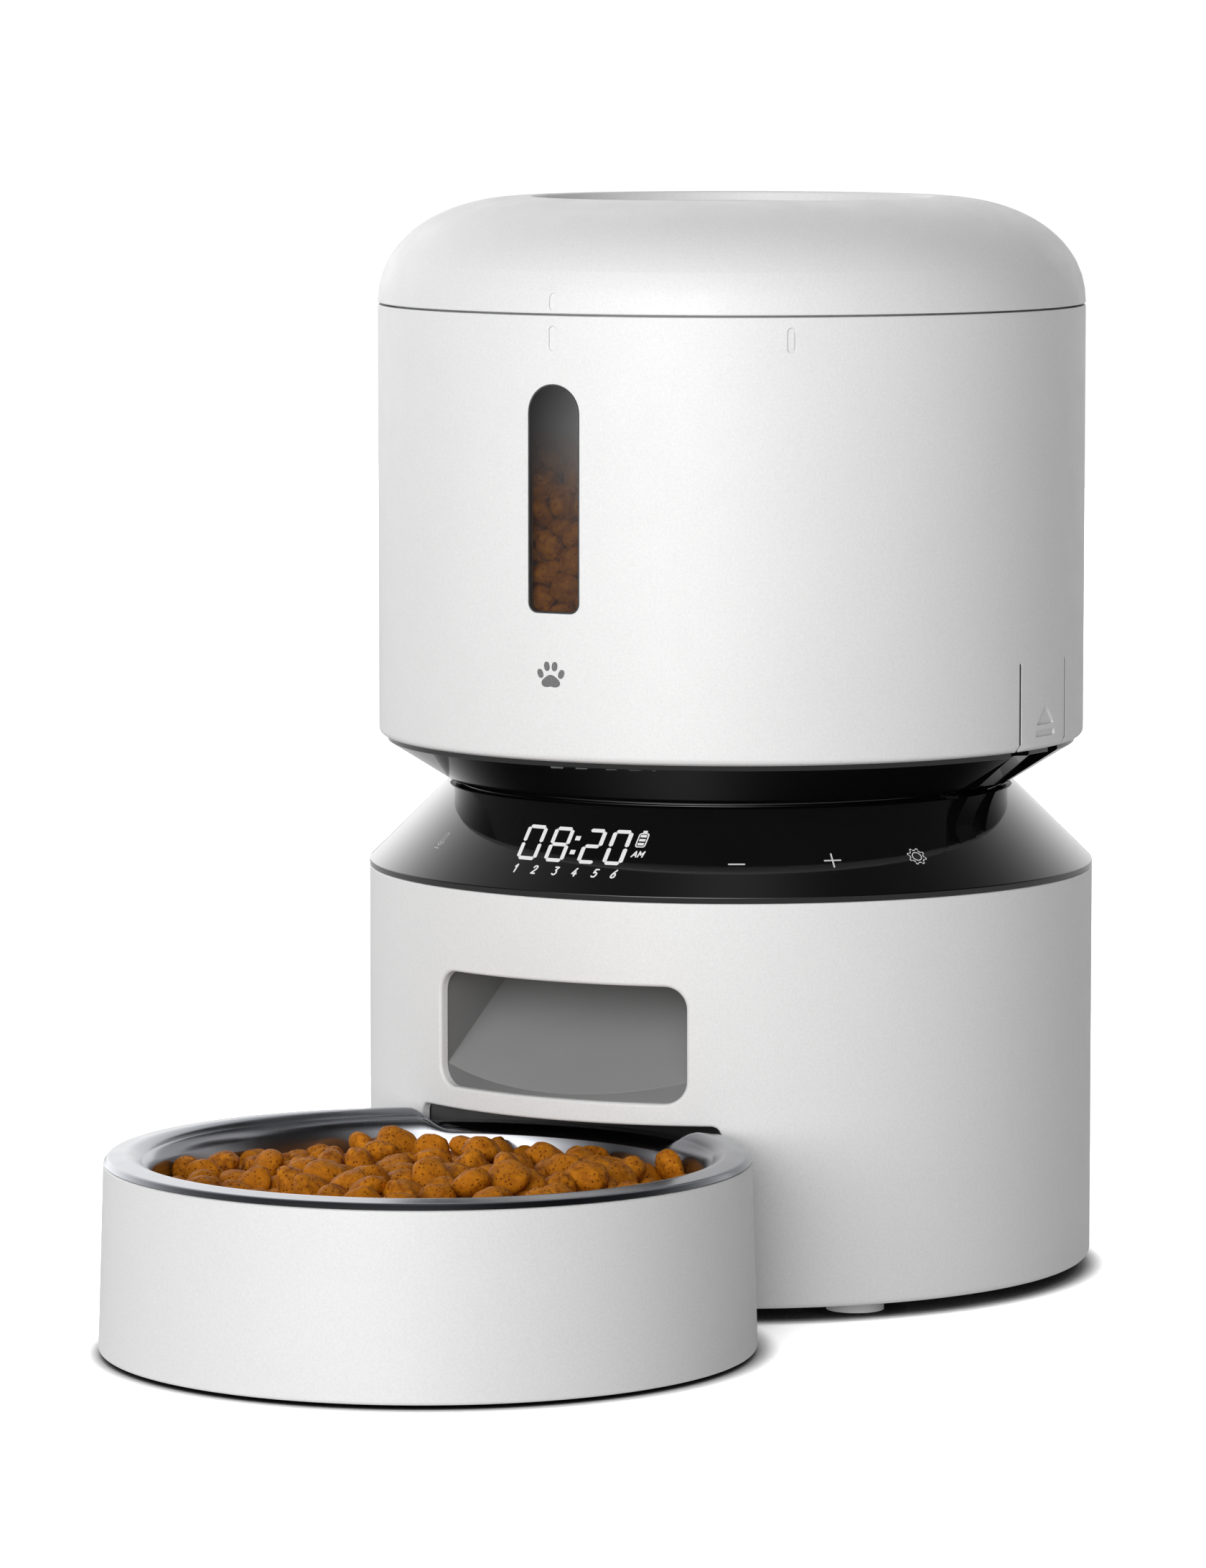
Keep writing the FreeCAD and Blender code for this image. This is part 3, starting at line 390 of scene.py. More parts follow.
def as_object(name, soup, material, body, stands_for=(), origin=(0.0, 0.0), sharp=38.0,
              weighted=True):
    """A named piece from a soup, in the row frame, riding on its body."""
    points = np.vstack(soup.points)
    shifted = (points - np.array([origin[0], origin[1], 0.0])) * MM
    mesh = bpy.data.meshes.new(name)
    mesh.from_pydata(shifted.tolist(), [], soup.faces)
    work = bmesh.new()
    work.from_mesh(mesh)
    bmesh.ops.remove_doubles(work, verts=work.verts, dist=2e-6)
    empty = [f for f in work.faces if f.calc_area() < 1e-14]
    bmesh.ops.delete(work, geom=empty, context="FACES")
    bmesh.ops.recalc_face_normals(work, faces=work.faces)
    work.to_mesh(mesh)
    work.free()
    mesh.materials.append(material)
    mesh.polygons.foreach_set("use_smooth", [True] * len(mesh.polygons))
    mesh.set_sharp_from_angle(angle=math.radians(sharp))
    thing = bpy.data.objects.new(name, mesh)
    bpy.context.scene.collection.objects.link(thing)
    thing.location = (origin[0] * MM, (origin[1] + AXIS_Y) * MM, 0.0)
    if weighted:
        even = thing.modifiers.new("even_normals", "WEIGHTED_NORMAL")
        even.keep_sharp = True
    if body:
        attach(thing, body)
    if stands_for:
        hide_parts(*stands_for)
    return thing


# ---- materials -----------------------------------------------------------------------------------

def calc(tree, operation, first, second):
    """The output of a math node on one socket and another socket or number."""
    made = tree.nodes.new("ShaderNodeMath")
    made.operation = operation
    tree.links.new(first, made.inputs[0])
    if isinstance(second, (int, float)):
        made.inputs[1].default_value = second
    else:
        tree.links.new(second, made.inputs[1])
    return made.outputs[0]


class Finish:
    """A procedural material around one Principled shader, in the piece's own coordinates."""

    def __init__(self, name, **sockets):
        self.material = bpy.data.materials.new(name)
        self.material.use_nodes = True
        self.tree = self.material.node_tree
        self.shader = self.tree.nodes["Principled BSDF"]
        self.place = self.node("ShaderNodeTexCoord").outputs["Object"]
        for socket, number in sockets.items():
            self.shader.inputs[socket.replace("_", " ")].default_value = number

    def node(self, kind, **values):
        made = self.tree.nodes.new(kind)
        for name, content in values.items():
            setattr(made, name, content)
        return made

    def link(self, a, b):
        self.tree.links.new(a, b)

    def noise(self, scale, detail=2.0, rough=0.5, stretch=None):
        """Noise with so many features a metre."""
        made = self.node("ShaderNodeTexNoise")
        made.inputs["Scale"].default_value = scale
        made.inputs["Detail"].default_value = detail
        made.inputs["Roughness"].default_value = rough
        place = self.place
        if stretch:
            mapping = self.node("ShaderNodeMapping")
            mapping.inputs["Scale"].default_value = stretch
            self.link(place, mapping.inputs["Vector"])
            place = mapping.outputs["Vector"]
        self.link(place, made.inputs["Vector"])
        return made.outputs["Fac"]

    def cells(self, scale):
        """Distance to the nearest of so many cells a metre."""
        made = self.node("ShaderNodeTexVoronoi")
        made.inputs["Scale"].default_value = scale
        self.link(self.place, made.inputs["Vector"])
        return made.outputs["Distance"]

    def spread(self, source, low, high, from_low=0.3, from_high=0.7):
        """Stretch a range of the source, as a rule the middle of a noise, to low and high."""
        made = self.node("ShaderNodeMapRange")
        for name, number in (("From Min", from_low), ("From Max", from_high), ("To Min", low),
                             ("To Max", high)):
            made.inputs[name].default_value = number
        self.link(source, made.inputs["Value"])
        return made.outputs["Result"]

    def mix(self, source, first, second):
        """A colour between two, by a number from 0 to 1."""
        made = self.node("ShaderNodeMix", data_type="RGBA")
        self.link(source, made.inputs["Factor"])
        for slot, colour in ((6, first), (7, second)):
            if isinstance(colour, tuple):
                made.inputs[slot].default_value = (*colour, 1.0)
            else:
                self.link(colour, made.inputs[slot])
        return made.outputs[2]

    def colour(self, source):
        self.link(source, self.shader.inputs["Base Color"])

    def rough(self, source):
        self.link(source, self.shader.inputs["Roughness"])

    def height(self, axis="Z"):
        """The place along one axis, in metres."""
        made = self.node("ShaderNodeSeparateXYZ")
        self.link(self.place, made.inputs[0])
        return made.outputs[axis]

    def bump(self, source, distance):
        """Height in metres; later calls stack on earlier ones."""
        made = self.node("ShaderNodeBump")
        made.inputs["Distance"].default_value = distance
        self.link(source, made.inputs["Height"])
        before = self.shader.inputs["Normal"].links
        if before:
            self.link(before[0].from_socket, made.inputs["Normal"])
        self.link(made.outputs["Normal"], self.shader.inputs["Normal"])


def shade(colour, factor):
    return tuple(min(1.0, c * factor) for c in colour)


def moulded(name, colour, roughness, vary=0.02, rough_vary=0.05, grain=1700.0, depth=1.2e-5, speck=0.0,
            **sockets):
    """Moulded plastic: a faint mottle and speckle, uneven sheen and a fine spark-eroded grain."""
    made = Finish(name, **sockets)
    mottle = made.spread(made.noise(35.0, 3.0), 0.0, 1.0)
    dark, light = (made.mix(mottle, shade(colour, 1 - vary - part), shade(colour, 1 + vary - part))
                   for part in (speck, -speck))
    made.colour(made.mix(made.spread(made.noise(1900.0, 1.0), 0.0, 1.0), dark, light))
    made.rough(made.spread(made.noise(140.0, 4.0), roughness - rough_vary, roughness + rough_vary))
    made.bump(made.noise(grain, 2.0), depth)
    return made.material


WHITE = moulded("white_matte_plastic", (0.635, 0.635, 0.635), 0.44, vary=0.008, grain=1500.0, depth=2.6e-5,
                speck=0.035, Specular_IOR_Level=0.5)
GLOSS = moulded("piano_black_plastic", (0.0035, 0.0035, 0.0038), 0.045, vary=0.1, rough_vary=0.012,
                grain=90.0, depth=2.0e-6, IOR=1.52)
BLACK = moulded("black_eroded_plastic", (0.016, 0.016, 0.017), 0.5, vary=0.15, grain=1300.0, depth=2.5e-5)
DUCT = moulded("grey_duct_plastic", (0.26, 0.26, 0.26), 0.55, vary=0.02, grain=1300.0, depth=1.6e-5)
SILL = moulded("dark_duct_plastic", (0.125, 0.125, 0.125), 0.55, vary=0.02, grain=1300.0, depth=1.6e-5)
INNER = moulded("satin_inner_plastic", (0.55, 0.56, 0.57), 0.42, grain=1200.0, depth=1.2e-5)
SILICONE = moulded("silicone", (0.70, 0.71, 0.72), 0.45, grain=700.0, depth=1.0e-5, Subsurface_Weight=0.15,
                   Subsurface_Scale=0.002)
RUBBER = moulded("soft_grey_rubber", (0.50, 0.50, 0.50), 0.75, vary=0.05, grain=1000.0, depth=3.0e-5)
NYLON = moulded("natural_nylon", (0.78, 0.76, 0.68), 0.38, grain=500.0, depth=1.0e-5, Subsurface_Weight=0.1,
                Subsurface_Scale=0.002)
SPEAKER = moulded("speaker_black", (0.02, 0.02, 0.02), 0.6, vary=0.2, grain=600.0, depth=4.0e-5)
STEEL = moulded("zinc_steel", (0.58, 0.58, 0.57), 0.33, vary=0.06, rough_vary=0.09, grain=260.0, depth=6.0e-6,
                Metallic=1.0)


# heights in metres between which the bowl's steel colour turns into the darker painted shade of its lip
LIP_SHADE_STARTS, LIP_SHADE_FULL = 0.0462, 0.0492


def spun_steel():
    """Bowl steel: fine rings from spinning and polishing, and painted shade that gives the lip a darker
    colour.
    """
    made = Finish("spun_stainless_steel", Metallic=1.0, Anisotropic=0.5)
    rings = made.node("ShaderNodeTexWave", wave_type="RINGS", rings_direction="Z")
    rings.inputs["Scale"].default_value = 260.0
    rings.inputs["Distortion"].default_value = 0.6
    rings.inputs["Detail"].default_value = 2.0
    rings.inputs["Detail Scale"].default_value = 0.4
    made.link(made.place, rings.inputs["Vector"])
    cloud = made.noise(12.0, 2.0)
    basin = made.mix(made.spread(cloud, 0.0, 1.0), (0.33, 0.337, 0.365), (0.37, 0.378, 0.405))
    # painted shade: the lip's steel colour is darker than the basin's
    lip = made.spread(made.height(), 0.0, 1.0, LIP_SHADE_STARTS, LIP_SHADE_FULL)
    made.colour(made.mix(lip, basin, (0.205, 0.211, 0.232)))
    made.rough(made.spread(made.noise(90.0, 2.0), 0.17, 0.21))
    made.bump(rings.outputs["Fac"], 4.0e-7)
    tangent = made.node("ShaderNodeTangent", direction_type="RADIAL", axis="Z")
    made.link(tangent.outputs["Tangent"], made.shader.inputs["Tangent"])
    return made.material


def set_stops(ramp, stops):
    """Give a colour ramp these stops and no others."""
    elements = ramp.color_ramp.elements
    elements.remove(elements[-1])
    for number, (position, colour) in enumerate(stops):
        stop = elements[0] if number == 0 else elements.new(position)
        stop.position = position
        stop.color = (*colour, 1.0)


def smoked():
    """Clear window with a smoky print that is dense at the top and thins out downwards, and painted shading
    that darkens its colour towards its left edge and lightens it towards its right.
    """
    low, high = (c.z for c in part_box("hopper_window"))
    made = Finish("smoked_window", Roughness=0.06, IOR=1.49)
    height = made.spread(made.height(), 0.0, 1.0, low, high)
    across = made.spread(made.height("X"), 0.0, 1.0, -WINDOW_HALF * MM, WINDOW_HALF * MM)
    haze = made.node("ShaderNodeValToRGB")
    haze.color_ramp.interpolation = "B_SPLINE"
    set_stops(haze, [(0.0, (0.36,) * 3), (0.30, (0.36,) * 3), (0.55, (0.38,) * 3), (0.74, (0.68,) * 3),
                     (0.88, (0.95,) * 3), (1.0, (1.0,) * 3)])
    made.link(height, haze.inputs["Fac"])
    tint = made.node("ShaderNodeValToRGB")
    set_stops(tint, [(0.0, (0.024, 0.017, 0.014)), (0.45, (0.028, 0.022, 0.019)),
                     (0.68, (0.050, 0.044, 0.042)), (0.82, (0.038, 0.037, 0.037)),
                     (0.97, (0.010, 0.010, 0.010))])
    made.link(height, tint.inputs["Fac"])
    # painted shading: the colour is multiplied from dark at the window's left edge to bright at its right
    side = made.mix(across, (0.35, 0.35, 0.35), (1.6, 1.6, 1.6))
    shaded = made.node("ShaderNodeMix", data_type="RGBA", blend_type="MULTIPLY")
    shaded.inputs["Factor"].default_value = 1.0
    made.link(tint.outputs["Color"], shaded.inputs[6])
    made.link(side, shaded.inputs[7])
    made.colour(shaded.outputs[2])
    grit = made.spread(made.noise(900.0, 3.0), -0.015, 0.015)
    made.link(calc(made.tree, "ADD", haze.outputs["Color"], grit), made.shader.inputs["Alpha"])
    made.bump(made.noise(60.0, 1.0), 3.0e-6)
    return made.material


def kibble_crumb():
    """Baked kibble: brown-orange with patchy lighter and darker tone, dark pores that are painted shade, and
    a crumbly surface.
    """
    made = Finish("kibble", Specular_IOR_Level=0.12)
    coarse = made.noise(420.0, 6.0, 0.62)
    pores = made.cells(900.0)
    tone = made.mix(made.spread(coarse, 0.0, 1.0, 0.32, 0.68), (0.19, 0.040, 0.0012), (0.68, 0.245, 0.009))
    each = made.node("ShaderNodeAttribute", attribute_name="bake")
    tone = made.mix(each.outputs["Fac"], tone, (0.50, 0.165, 0.004))
    # painted shade: the colour is darkened in the pores, which are also bumped into the surface
    dark = made.spread(pores, 1.0, 0.0, 0.10, 0.30)
    made.colour(made.mix(dark, tone, (0.08, 0.014, 0.0008)))
    made.rough(made.spread(made.noise(300.0, 3.0), 0.45, 0.75))
    made.bump(made.noise(380.0, 7.0, 0.68), 5.5e-4)
    made.bump(made.spread(pores, 0.0, 1.0, 0.05, 0.45), 1.2e-4)
    return made.material


def board_green():
    """Circuit board: rows of tracks under green lacquer."""
    made = Finish("circuit_board", Roughness=0.35)
    tracks = made.node("ShaderNodeTexBrick", offset=0.37)
    for name, number in (("Scale", 160.0), ("Mortar Size", 0.06), ("Brick Width", 0.9), ("Row Height", 0.28)):
        tracks.inputs[name].default_value = number
    tracks.inputs["Color1"].default_value = (0.012, 0.10, 0.045, 1)
    tracks.inputs["Color2"].default_value = (0.016, 0.13, 0.06, 1)
    tracks.inputs["Mortar"].default_value = (0.04, 0.22, 0.10, 1)
    made.link(made.place, tracks.inputs["Vector"])
    made.colour(tracks.outputs["Color"])
    made.rough(made.spread(made.noise(300.0, 2.0), 0.25, 0.45))
    made.bump(tracks.outputs["Fac"], 2.0e-5)
    return made.material


def battery_film():
    """Dark shrink film with streaks along the cell."""
    made = Finish("battery_wrap", Roughness=0.3, Metallic=0.4)
    along = made.noise(60.0, 2.0, stretch=(1.0, 0.1, 1.0))
    made.colour(made.mix(made.spread(along, 0.0, 1.0), (0.06, 0.06, 0.065), (0.10, 0.095, 0.09)))
    made.rough(made.spread(made.noise(220.0, 3.0), 0.22, 0.38))
    made.bump(made.noise(500.0, 2.0), 8.0e-6)
    return made.material


def paper():
    """Fibrous off-white paper."""
    made = Finish("sachet_paper", Roughness=0.85)
    fibres = made.noise(900.0, 6.0, 0.7, stretch=(1.0, 0.35, 1.0))
    made.colour(made.mix(made.spread(fibres, 0.0, 1.0), (0.72, 0.72, 0.68), (0.86, 0.86, 0.83)))
    made.rough(made.spread(fibres, 0.75, 0.95))
    made.bump(fibres, 5.0e-5)
    return made.material


def printed(name, colour, glow=0.0):
    """Ink, or a glyph under the gloss that glows with light of its own; printed legends made to glow are
    painted light.
    """
    made = Finish(name, Roughness=0.25)
    speck = made.noise(1500.0, 2.0)
    tint = made.mix(made.spread(speck, 0.0, 1.0), shade(colour, 0.95), shade(colour, 1.05))
    if glow:
        made.link(tint, made.shader.inputs["Emission Color"])
        made.shader.inputs["Emission Strength"].default_value = glow
        made.shader.inputs["Base Color"].default_value = (0.05, 0.05, 0.05, 1.0)
    else:
        made.colour(tint)
    made.rough(made.spread(speck, 0.2, 0.3))
    made.bump(speck, 1.0e-6)
    return made.material


SPUN = spun_steel()
WINDOW = smoked()
KIBBLE = kibble_crumb()
BOARD = board_green()
WRAP = battery_film()
PAPER = paper()
LIT = printed("display_lit", (0.74, 0.74, 0.74), 1.0)
# the key and microphone legends are print given a glow of their own: painted light
KEY_GLOW = printed("key_legend", (0.50, 0.50, 0.50), 1.0)
FAINT_GLOW = printed("microphone_legend", (0.22, 0.22, 0.22), 1.0)
GREY_INK = printed("grey_print", (0.13, 0.13, 0.13))

NODE_FINISH = {
    WHITE: ["base_shell", "hopper_shell", "lid_shell", "bowl_stand", "release_tab_right", "release_tab_left"],
    GLOSS: ["control_cone", "neck_cone"],
    BLACK: ["bottom_cover", "battery_door", "battery_tray", "bowl_bay", "dc_jack", "deck", "gearbox"],
    DUCT: ["chute"],
    INNER: ["hopper_funnel", "port_shelf", "lid_liner", "portion_rotor", "stirring_cap", "desiccant_cover"],
    WINDOW: ["hopper_window"],
    SILICONE: ["lid_seal", "rotor_blades", "port_wiper"],
    RUBBER: ["base_feet", "bowl_pads"],
    SPUN: ["steel_bowl"],
    STEEL: ["cover_screws", "drive_shaft", "motor_shaft", "idler_pin", "battery_contacts", "gear_motor"],
    NYLON: ["output_gear", "idler_gear", "motor_pinion"],
    BOARD: ["main_board", "display_module", "touch_flex"],
    WRAP: ["battery_cells"],
    SPEAKER: ["speaker", "microphone"],
    PAPER: ["desiccant_sachet"],
}
for finish, names in NODE_FINISH.items():
    for name in names:
        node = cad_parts[name]
        node.data.materials.clear()
        node.data.materials.append(finish)


# ---- base ----------------------------------------------------------------------------------------

def rounded_box(half, low, high, corner, middle=0.0, **options):
    """Clockwise, so that the material lies outside it."""
    corners = [(middle - half, low), (middle - half, high), (middle + half, high), (middle + half, low)]
    return rounded(corners, corner, **options)


def build_base():
    """The outer wall with the outlet, the arch over the bowl, the rear grille and the power socket's hole."""
    skin = upright(BASE_R, BASE_LOW, BASE_TOP)
    quarter = BASE_R * math.pi / 2
    notch = BASE_R * math.radians(BAY_ANGLE)
    foot = edge(2.0, BASE_WALL)
    lip = edge(0.7, BASE_WALL)
    bottom = Outline(rounded([(-quarter, BASE_LOW), (-notch, BASE_LOW), (-notch, BAY_HIGH), (notch, BAY_HIGH),
                              (notch, BASE_LOW), (3 * quarter, BASE_LOW)], [0, 3.0, 2.6, 2.6, 3.0, 0],
                             closed=False), [foot, lip, lip, lip, foot])
    top = Outline(line(3 * quarter, -quarter, BASE_TOP), edge(0.45, BASE_WALL))
    outlet = Outline(rounded_box(OUTLET_HALF, OUTLET_LOW, OUTLET_HIGH, 5.8, turn=9), edge(0.9, BASE_WALL))
    rear = 2 * quarter
    openings = [bottom, top, outlet]
    for number in range(5):
        z = 56.0 + 5.0 * (number - 2)
        slot = rounded_box(13.0, z - 0.8, z + 0.8, 0.78, rear, turn=22)
        openings.append(Outline(slot, edge(0.3, BASE_WALL)))
    jack_r, jack_z = 6.1, 20.0
    jack_normals = np.array([(math.sin(-a), math.cos(-a)) for a in np.linspace(0, -TAU, 40, False)])
    jack = np.array([rear, jack_z]) + jack_normals * jack_r
    openings.append(Outline((jack, jack_normals, np.zeros(40)), edge(0.5, BASE_WALL)))
    soup = Soup()
    panel(soup, skin, BASE_WALL, openings, around=(-quarter, 3 * quarter))
    as_object("base_wall", soup, WHITE, "base", ["base_shell"])
    build_sill(skin)


def build_sill(skin):
    """The darker strip that closes the outlet's lower edge in front of the ramp's cut end."""
    reach = BASE_R - BASE_WALL - 0.1
    half, columns, half_thick = 36.8, 64, 0.06
    angles = np.arcsin(np.linspace(-half, half, columns) / reach)
    ramp = RAMP_AT_WALL + RAMP_SLOPE * (reach - reach * np.cos(angles))
    upper = np.c_[BASE_R * angles, ramp]
    lower = np.c_[BASE_R * angles, np.full(columns, OUTLET_LOW - 0.3)]
    soup = Soup()
    raised_patch(soup, skin, np.vstack([lower, upper[::-1]]), BASE_WALL - half_thick, BASE_WALL + half_thick)
    as_object("outlet_sill", soup, SILL, "base")


def build_cone():
    """The gloss cone, its rolled waist and the well with its two catch windows."""
    well, low, thick = 72.6, 92.0, 1.8
    reach, high = well + thick, WAIST_Z - 0.6
    outline = profile_of([(BASE_R, BASE_TOP + 0.1), CONE_FOOT, CONE_TOP,
                          (74.2, WAIST_Z), (well, WAIST_Z), (well, WAIST_Z - 1.2), (74.6, WAIST_Z - 3.2),
                          (93.6, BASE_TOP + 0.1)], [0.1, 0.45, 1.2, 0.5, 0.4, 0.1, 0.1, 0.1], run=3.0, turn=9)
    soup = turned(outline, 360)
    skin = upright(reach, low, high)
    quarter = reach * math.pi / 2
    bottom = Outline(line(-2 * quarter, 2 * quarter, low), edge(0.2, thick, 0.2))
    top = Outline(line(2 * quarter, -2 * quarter, high), edge(0.2, thick, 0.2))
    windows = [Outline(rounded_box(7.2, 111.2, 117.4, 0.5, side * quarter, turn=30), edge(0.15, thick, 0.25))
               for side in (-1, 1)]
    panel(soup, skin, thick, [bottom, top] + windows, around=(-2 * quarter, 2 * quarter))
    as_object("gloss_cone", soup, GLOSS, "base", ["control_cone"], sharp=50.0)


# ---- hopper --------------------------------------------------------------------------------------

def tank_skin():
    """The tank's wall with its tucked-in lower edge; v runs up from the end of the tuck."""
    turns = np.linspace(math.pi / 2, 0, 10)
    arc = [(TANK_R - TUCK_WIDE * (1 - math.cos(t)), TUCK_Z - TUCK_TALL * math.sin(t)) for t in turns]
    wall = [(TANK_R, TUCK_Z + (TANK_TOP - TUCK_Z) * k / 10) for k in range(1, 11)]
    return Skin(arc + wall, TANK_R)


def capsule(half, low, high, middle=0.0):
    """An outline with round ends, clockwise like rounded_box()."""
    return rounded_box(half, low, high, half * 0.985, middle, run=1.5, turn=18)


def window_path(side, inset=0.0):
    """The sight window's outline on the tank: clockwise for side -1, the other way round for side 1."""
    v = tank_skin().v_of
    half, low, high = WINDOW_HALF - inset, v(WINDOW_LOW) + inset, v(WINDOW_HIGH) - inset
    foot, head = max(0.4, WINDOW_CORNER - inset), half * 0.99
    corners = [(side * half, low), (side * half, high), (-side * half, high), (-side * half, low)]
    return rounded(corners, [foot, head, head, foot], turn=9)


def build_tank():
    """The white wall with its slits, window opening and lock marks, and the bayonet's ring and lugs."""
    skin = tank_skin()
    v = skin.v_of
    quarter = TANK_R * math.pi / 2
    path, radii, levels = [(-2 * quarter, 0.0)], [0], []
    fine, seam, slit = edge(0.3, TANK_WALL), plain(TANK_WALL), edge(0.1, TANK_WALL, 0.1)
    for middle in (-quarter, quarter):
        path += [(middle - SLIT_OUT, 0.0), (middle - SLIT_OUT, v(SLIT_TOP)), (middle - SLIT_IN, v(SLIT_TOP)),
                 (middle - SLIT_IN, v(SEAM_Z)), (middle + SLIT_IN, v(SEAM_Z)),
                 (middle + SLIT_IN, v(SLIT_TOP)), (middle + SLIT_OUT, v(SLIT_TOP)), (middle + SLIT_OUT, 0.0)]
        radii += [0.9, 0.44, 0.44, "before", "after", 0.44, 0.44, 0.9]
        levels += [slit, slit, slit, slit, seam, slit, slit, slit]
    path.append((2 * quarter, 0.0))
    radii.append(0)
    levels.append(fine)
    bottom = Outline(rounded(path, radii, closed=False), levels)
    top = Outline(line(2 * quarter, -2 * quarter, v(TANK_TOP)), edge(0.4, TANK_WALL))
    window = Outline(window_path(-1), edge(0.25, TANK_WALL))
    unlock = TANK_R * math.radians(UNLOCK_ANGLE)
    marks = [Outline(capsule(MARK_HALF, v(MARK_LOW), v(MARK_HIGH), place), pocket_levels(MARK_DEEP))
             for place in (0.0, unlock)]
    soup = Soup()
    panel(soup, skin, TANK_WALL, [bottom, top, window], around=(-2 * quarter, 2 * quarter), pockets=marks,
          bends=TUCK_ROWS)
    inner = TANK_R - TANK_WALL
    ring = profile_of([(inner + 0.1, 249.0), (88.6, 249.0), (88.6, 244.0), (inner + 0.1, 240.0)],
                      [0.05, 0.4, 0.4, 0.05], turn=22)
    soup.join(turned(ring, 240))
    for number in range(4):
        soup.join(sector(85.6, 89.0, 244.6, 246.4, number * 90.0, 30.0, 0.35))
    as_object("tank_wall", soup, WHITE, "hopper", ["hopper_shell"])
    # painted shade: thin black strips sit inside the slits, where there is only shadow
    shade_strips = Soup()
    for middle in (-quarter, quarter):
        for side in (-1, 1):
            strip = rounded_box((SLIT_OUT - SLIT_IN) / 2 - 0.04, v(TUCK_Z), v(SLIT_TOP - 0.2), 0.3,
                                middle + side * (SLIT_OUT + SLIT_IN) / 2, turn=30)
            raised_patch(shade_strips, skin, strip[0], 0.15, 1.4)
    as_object("slit_shade_strips", shade_strips, BLACK, "hopper")
    island = Soup()
    raised_patch(island, skin, capsule(0.55, v(248.73), v(253.7), unlock)[0], -0.02, 0.47)
    as_object("unlock_mark_core", island, WHITE, "hopper")


def sector(inner, outer, low, high, middle, span, soften):
    """A ring sector with softened edges; angles in degrees from the front."""
    section = profile_of(rectangle(inner, outer, low, high), soften, run=2.0, turn=30)
    return swept(section, np.radians(middle + np.linspace(-span / 2, span / 2, 14)))


def raised_patch(soup, skin, outline, upper, lower, holes=()):
    """A thin solid on a skin between two depths under it; a negative depth stands out."""
    loops = [np.array(outline)] + [np.array(h) for h in holes]
    points, triangles = fill(loops)
    for level in (upper, lower):
        soup.add(skin.at(points[:, 0], points[:, 1], level), triangles.tolist())
    for loop in loops:
        soup.rings([skin.at(loop[:, 0], loop[:, 1], level) for level in (upper, lower)])


def build_window():
    """The flush smoked panel, and a thin black ring round it that is painted shade in the gap between panel
    and wall.
    """
    skin = tank_skin()
    thick, sunk = TANK_WALL - 0.35, 0.22
    outline = Outline(window_path(1, 0.42), edge(0.12, thick, 0.1))
    soup = Soup()
    panel(soup, Skin(skin.profile - (sunk, 0.0), TANK_R), thick, [outline], row=3.0, column=1.3)
    as_object("window_panel", soup, WINDOW, "hopper", ["hopper_window"])
    # painted shade: the thin black ring fills the gap round the panel, where there is only shadow
    rim = Soup()
    raised_patch(rim, skin, window_path(1, 0.06)[0], 0.30, 1.4, holes=[window_path(1, 0.45)[0]])
    as_object("window_gap_shade", rim, BLACK, "hopper")


def build_tab(side, body, node):
    """The release tab's tongue, cut out of the tank wall, and the hooked arm behind it."""
    skin = tank_skin()
    v = skin.v_of
    middle = side * TANK_R * math.pi / 2
    corners = [(middle + SLIT_IN, v(SEAM_Z)), (middle - SLIT_IN, v(SEAM_Z)), (middle - SLIT_IN, 0.15),
               (middle + SLIT_IN, 0.15)]
    fine, seam, slit = edge(0.3, TANK_WALL), plain(TANK_WALL), edge(0.1, TANK_WALL, 0.1)
    path = rounded(corners, ["before", "after", 1.1, 1.1])
    border = Outline(path, [seam, slit, fine, slit])
    triangle = rounded([(middle - 5.1, v(149.3)), (middle, v(154.5)), (middle + 5.1, v(149.3))], 0.3, turn=30)
    bar = rounded_box(5.35, v(146.2), v(147.9), 0.25, middle, turn=30)
    marks = [Outline(triangle, pocket_levels(0.6, 0.06)), Outline(bar, pocket_levels(0.6, 0.06))]
    soup = Soup()
    panel(soup, skin, TANK_WALL, [border], pockets=marks, row=5.0, bends=TUCK_ROWS)
    tongue = as_object(f"{body}_tongue", soup, WHITE, None)
    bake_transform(tongue)
    inner = TANK_R - TANK_WALL
    section = profile_of([(inner + 0.4, 141.6), (inner + 0.4, 146.9), (inner - 5, 145.3), (74.0, 134.4),
                          (68.2, 130.4), (68.2, 112.0), (71.6, 112.0), (73.6, 114.0), (73.6, 116.6),
                          (70.6, 116.6), (70.6, 131.8), (76.0, 131.8), (inner - 4, 141.3)],
                         [0.2, 0.4, 1.5, 3.0, 1.6, 0.4, 0.8, 0.6, 0.3, 0.3, 1.2, 1.5, 1.0], turn=18)
    arm = Soup()
    wide, bevel = 5.5, 0.3
    inwards = section.mean(0) - section
    inwards /= np.linalg.norm(inwards, axis=1)[:, None]
    layers = []
    for across, pull in ((-wide, bevel), (-wide + bevel, 0.0), (wide - bevel, 0.0), (wide, bevel)):
        shrunk = section + inwards * pull
        layers.append(np.c_[side * shrunk[:, 0], np.full(len(section), across), shrunk[:, 1]])
    arm.rings(layers)
    arm.caps(layers)
    as_object(f"{body}_arm", arm, GLOSS, body, [node], sharp=50.0)


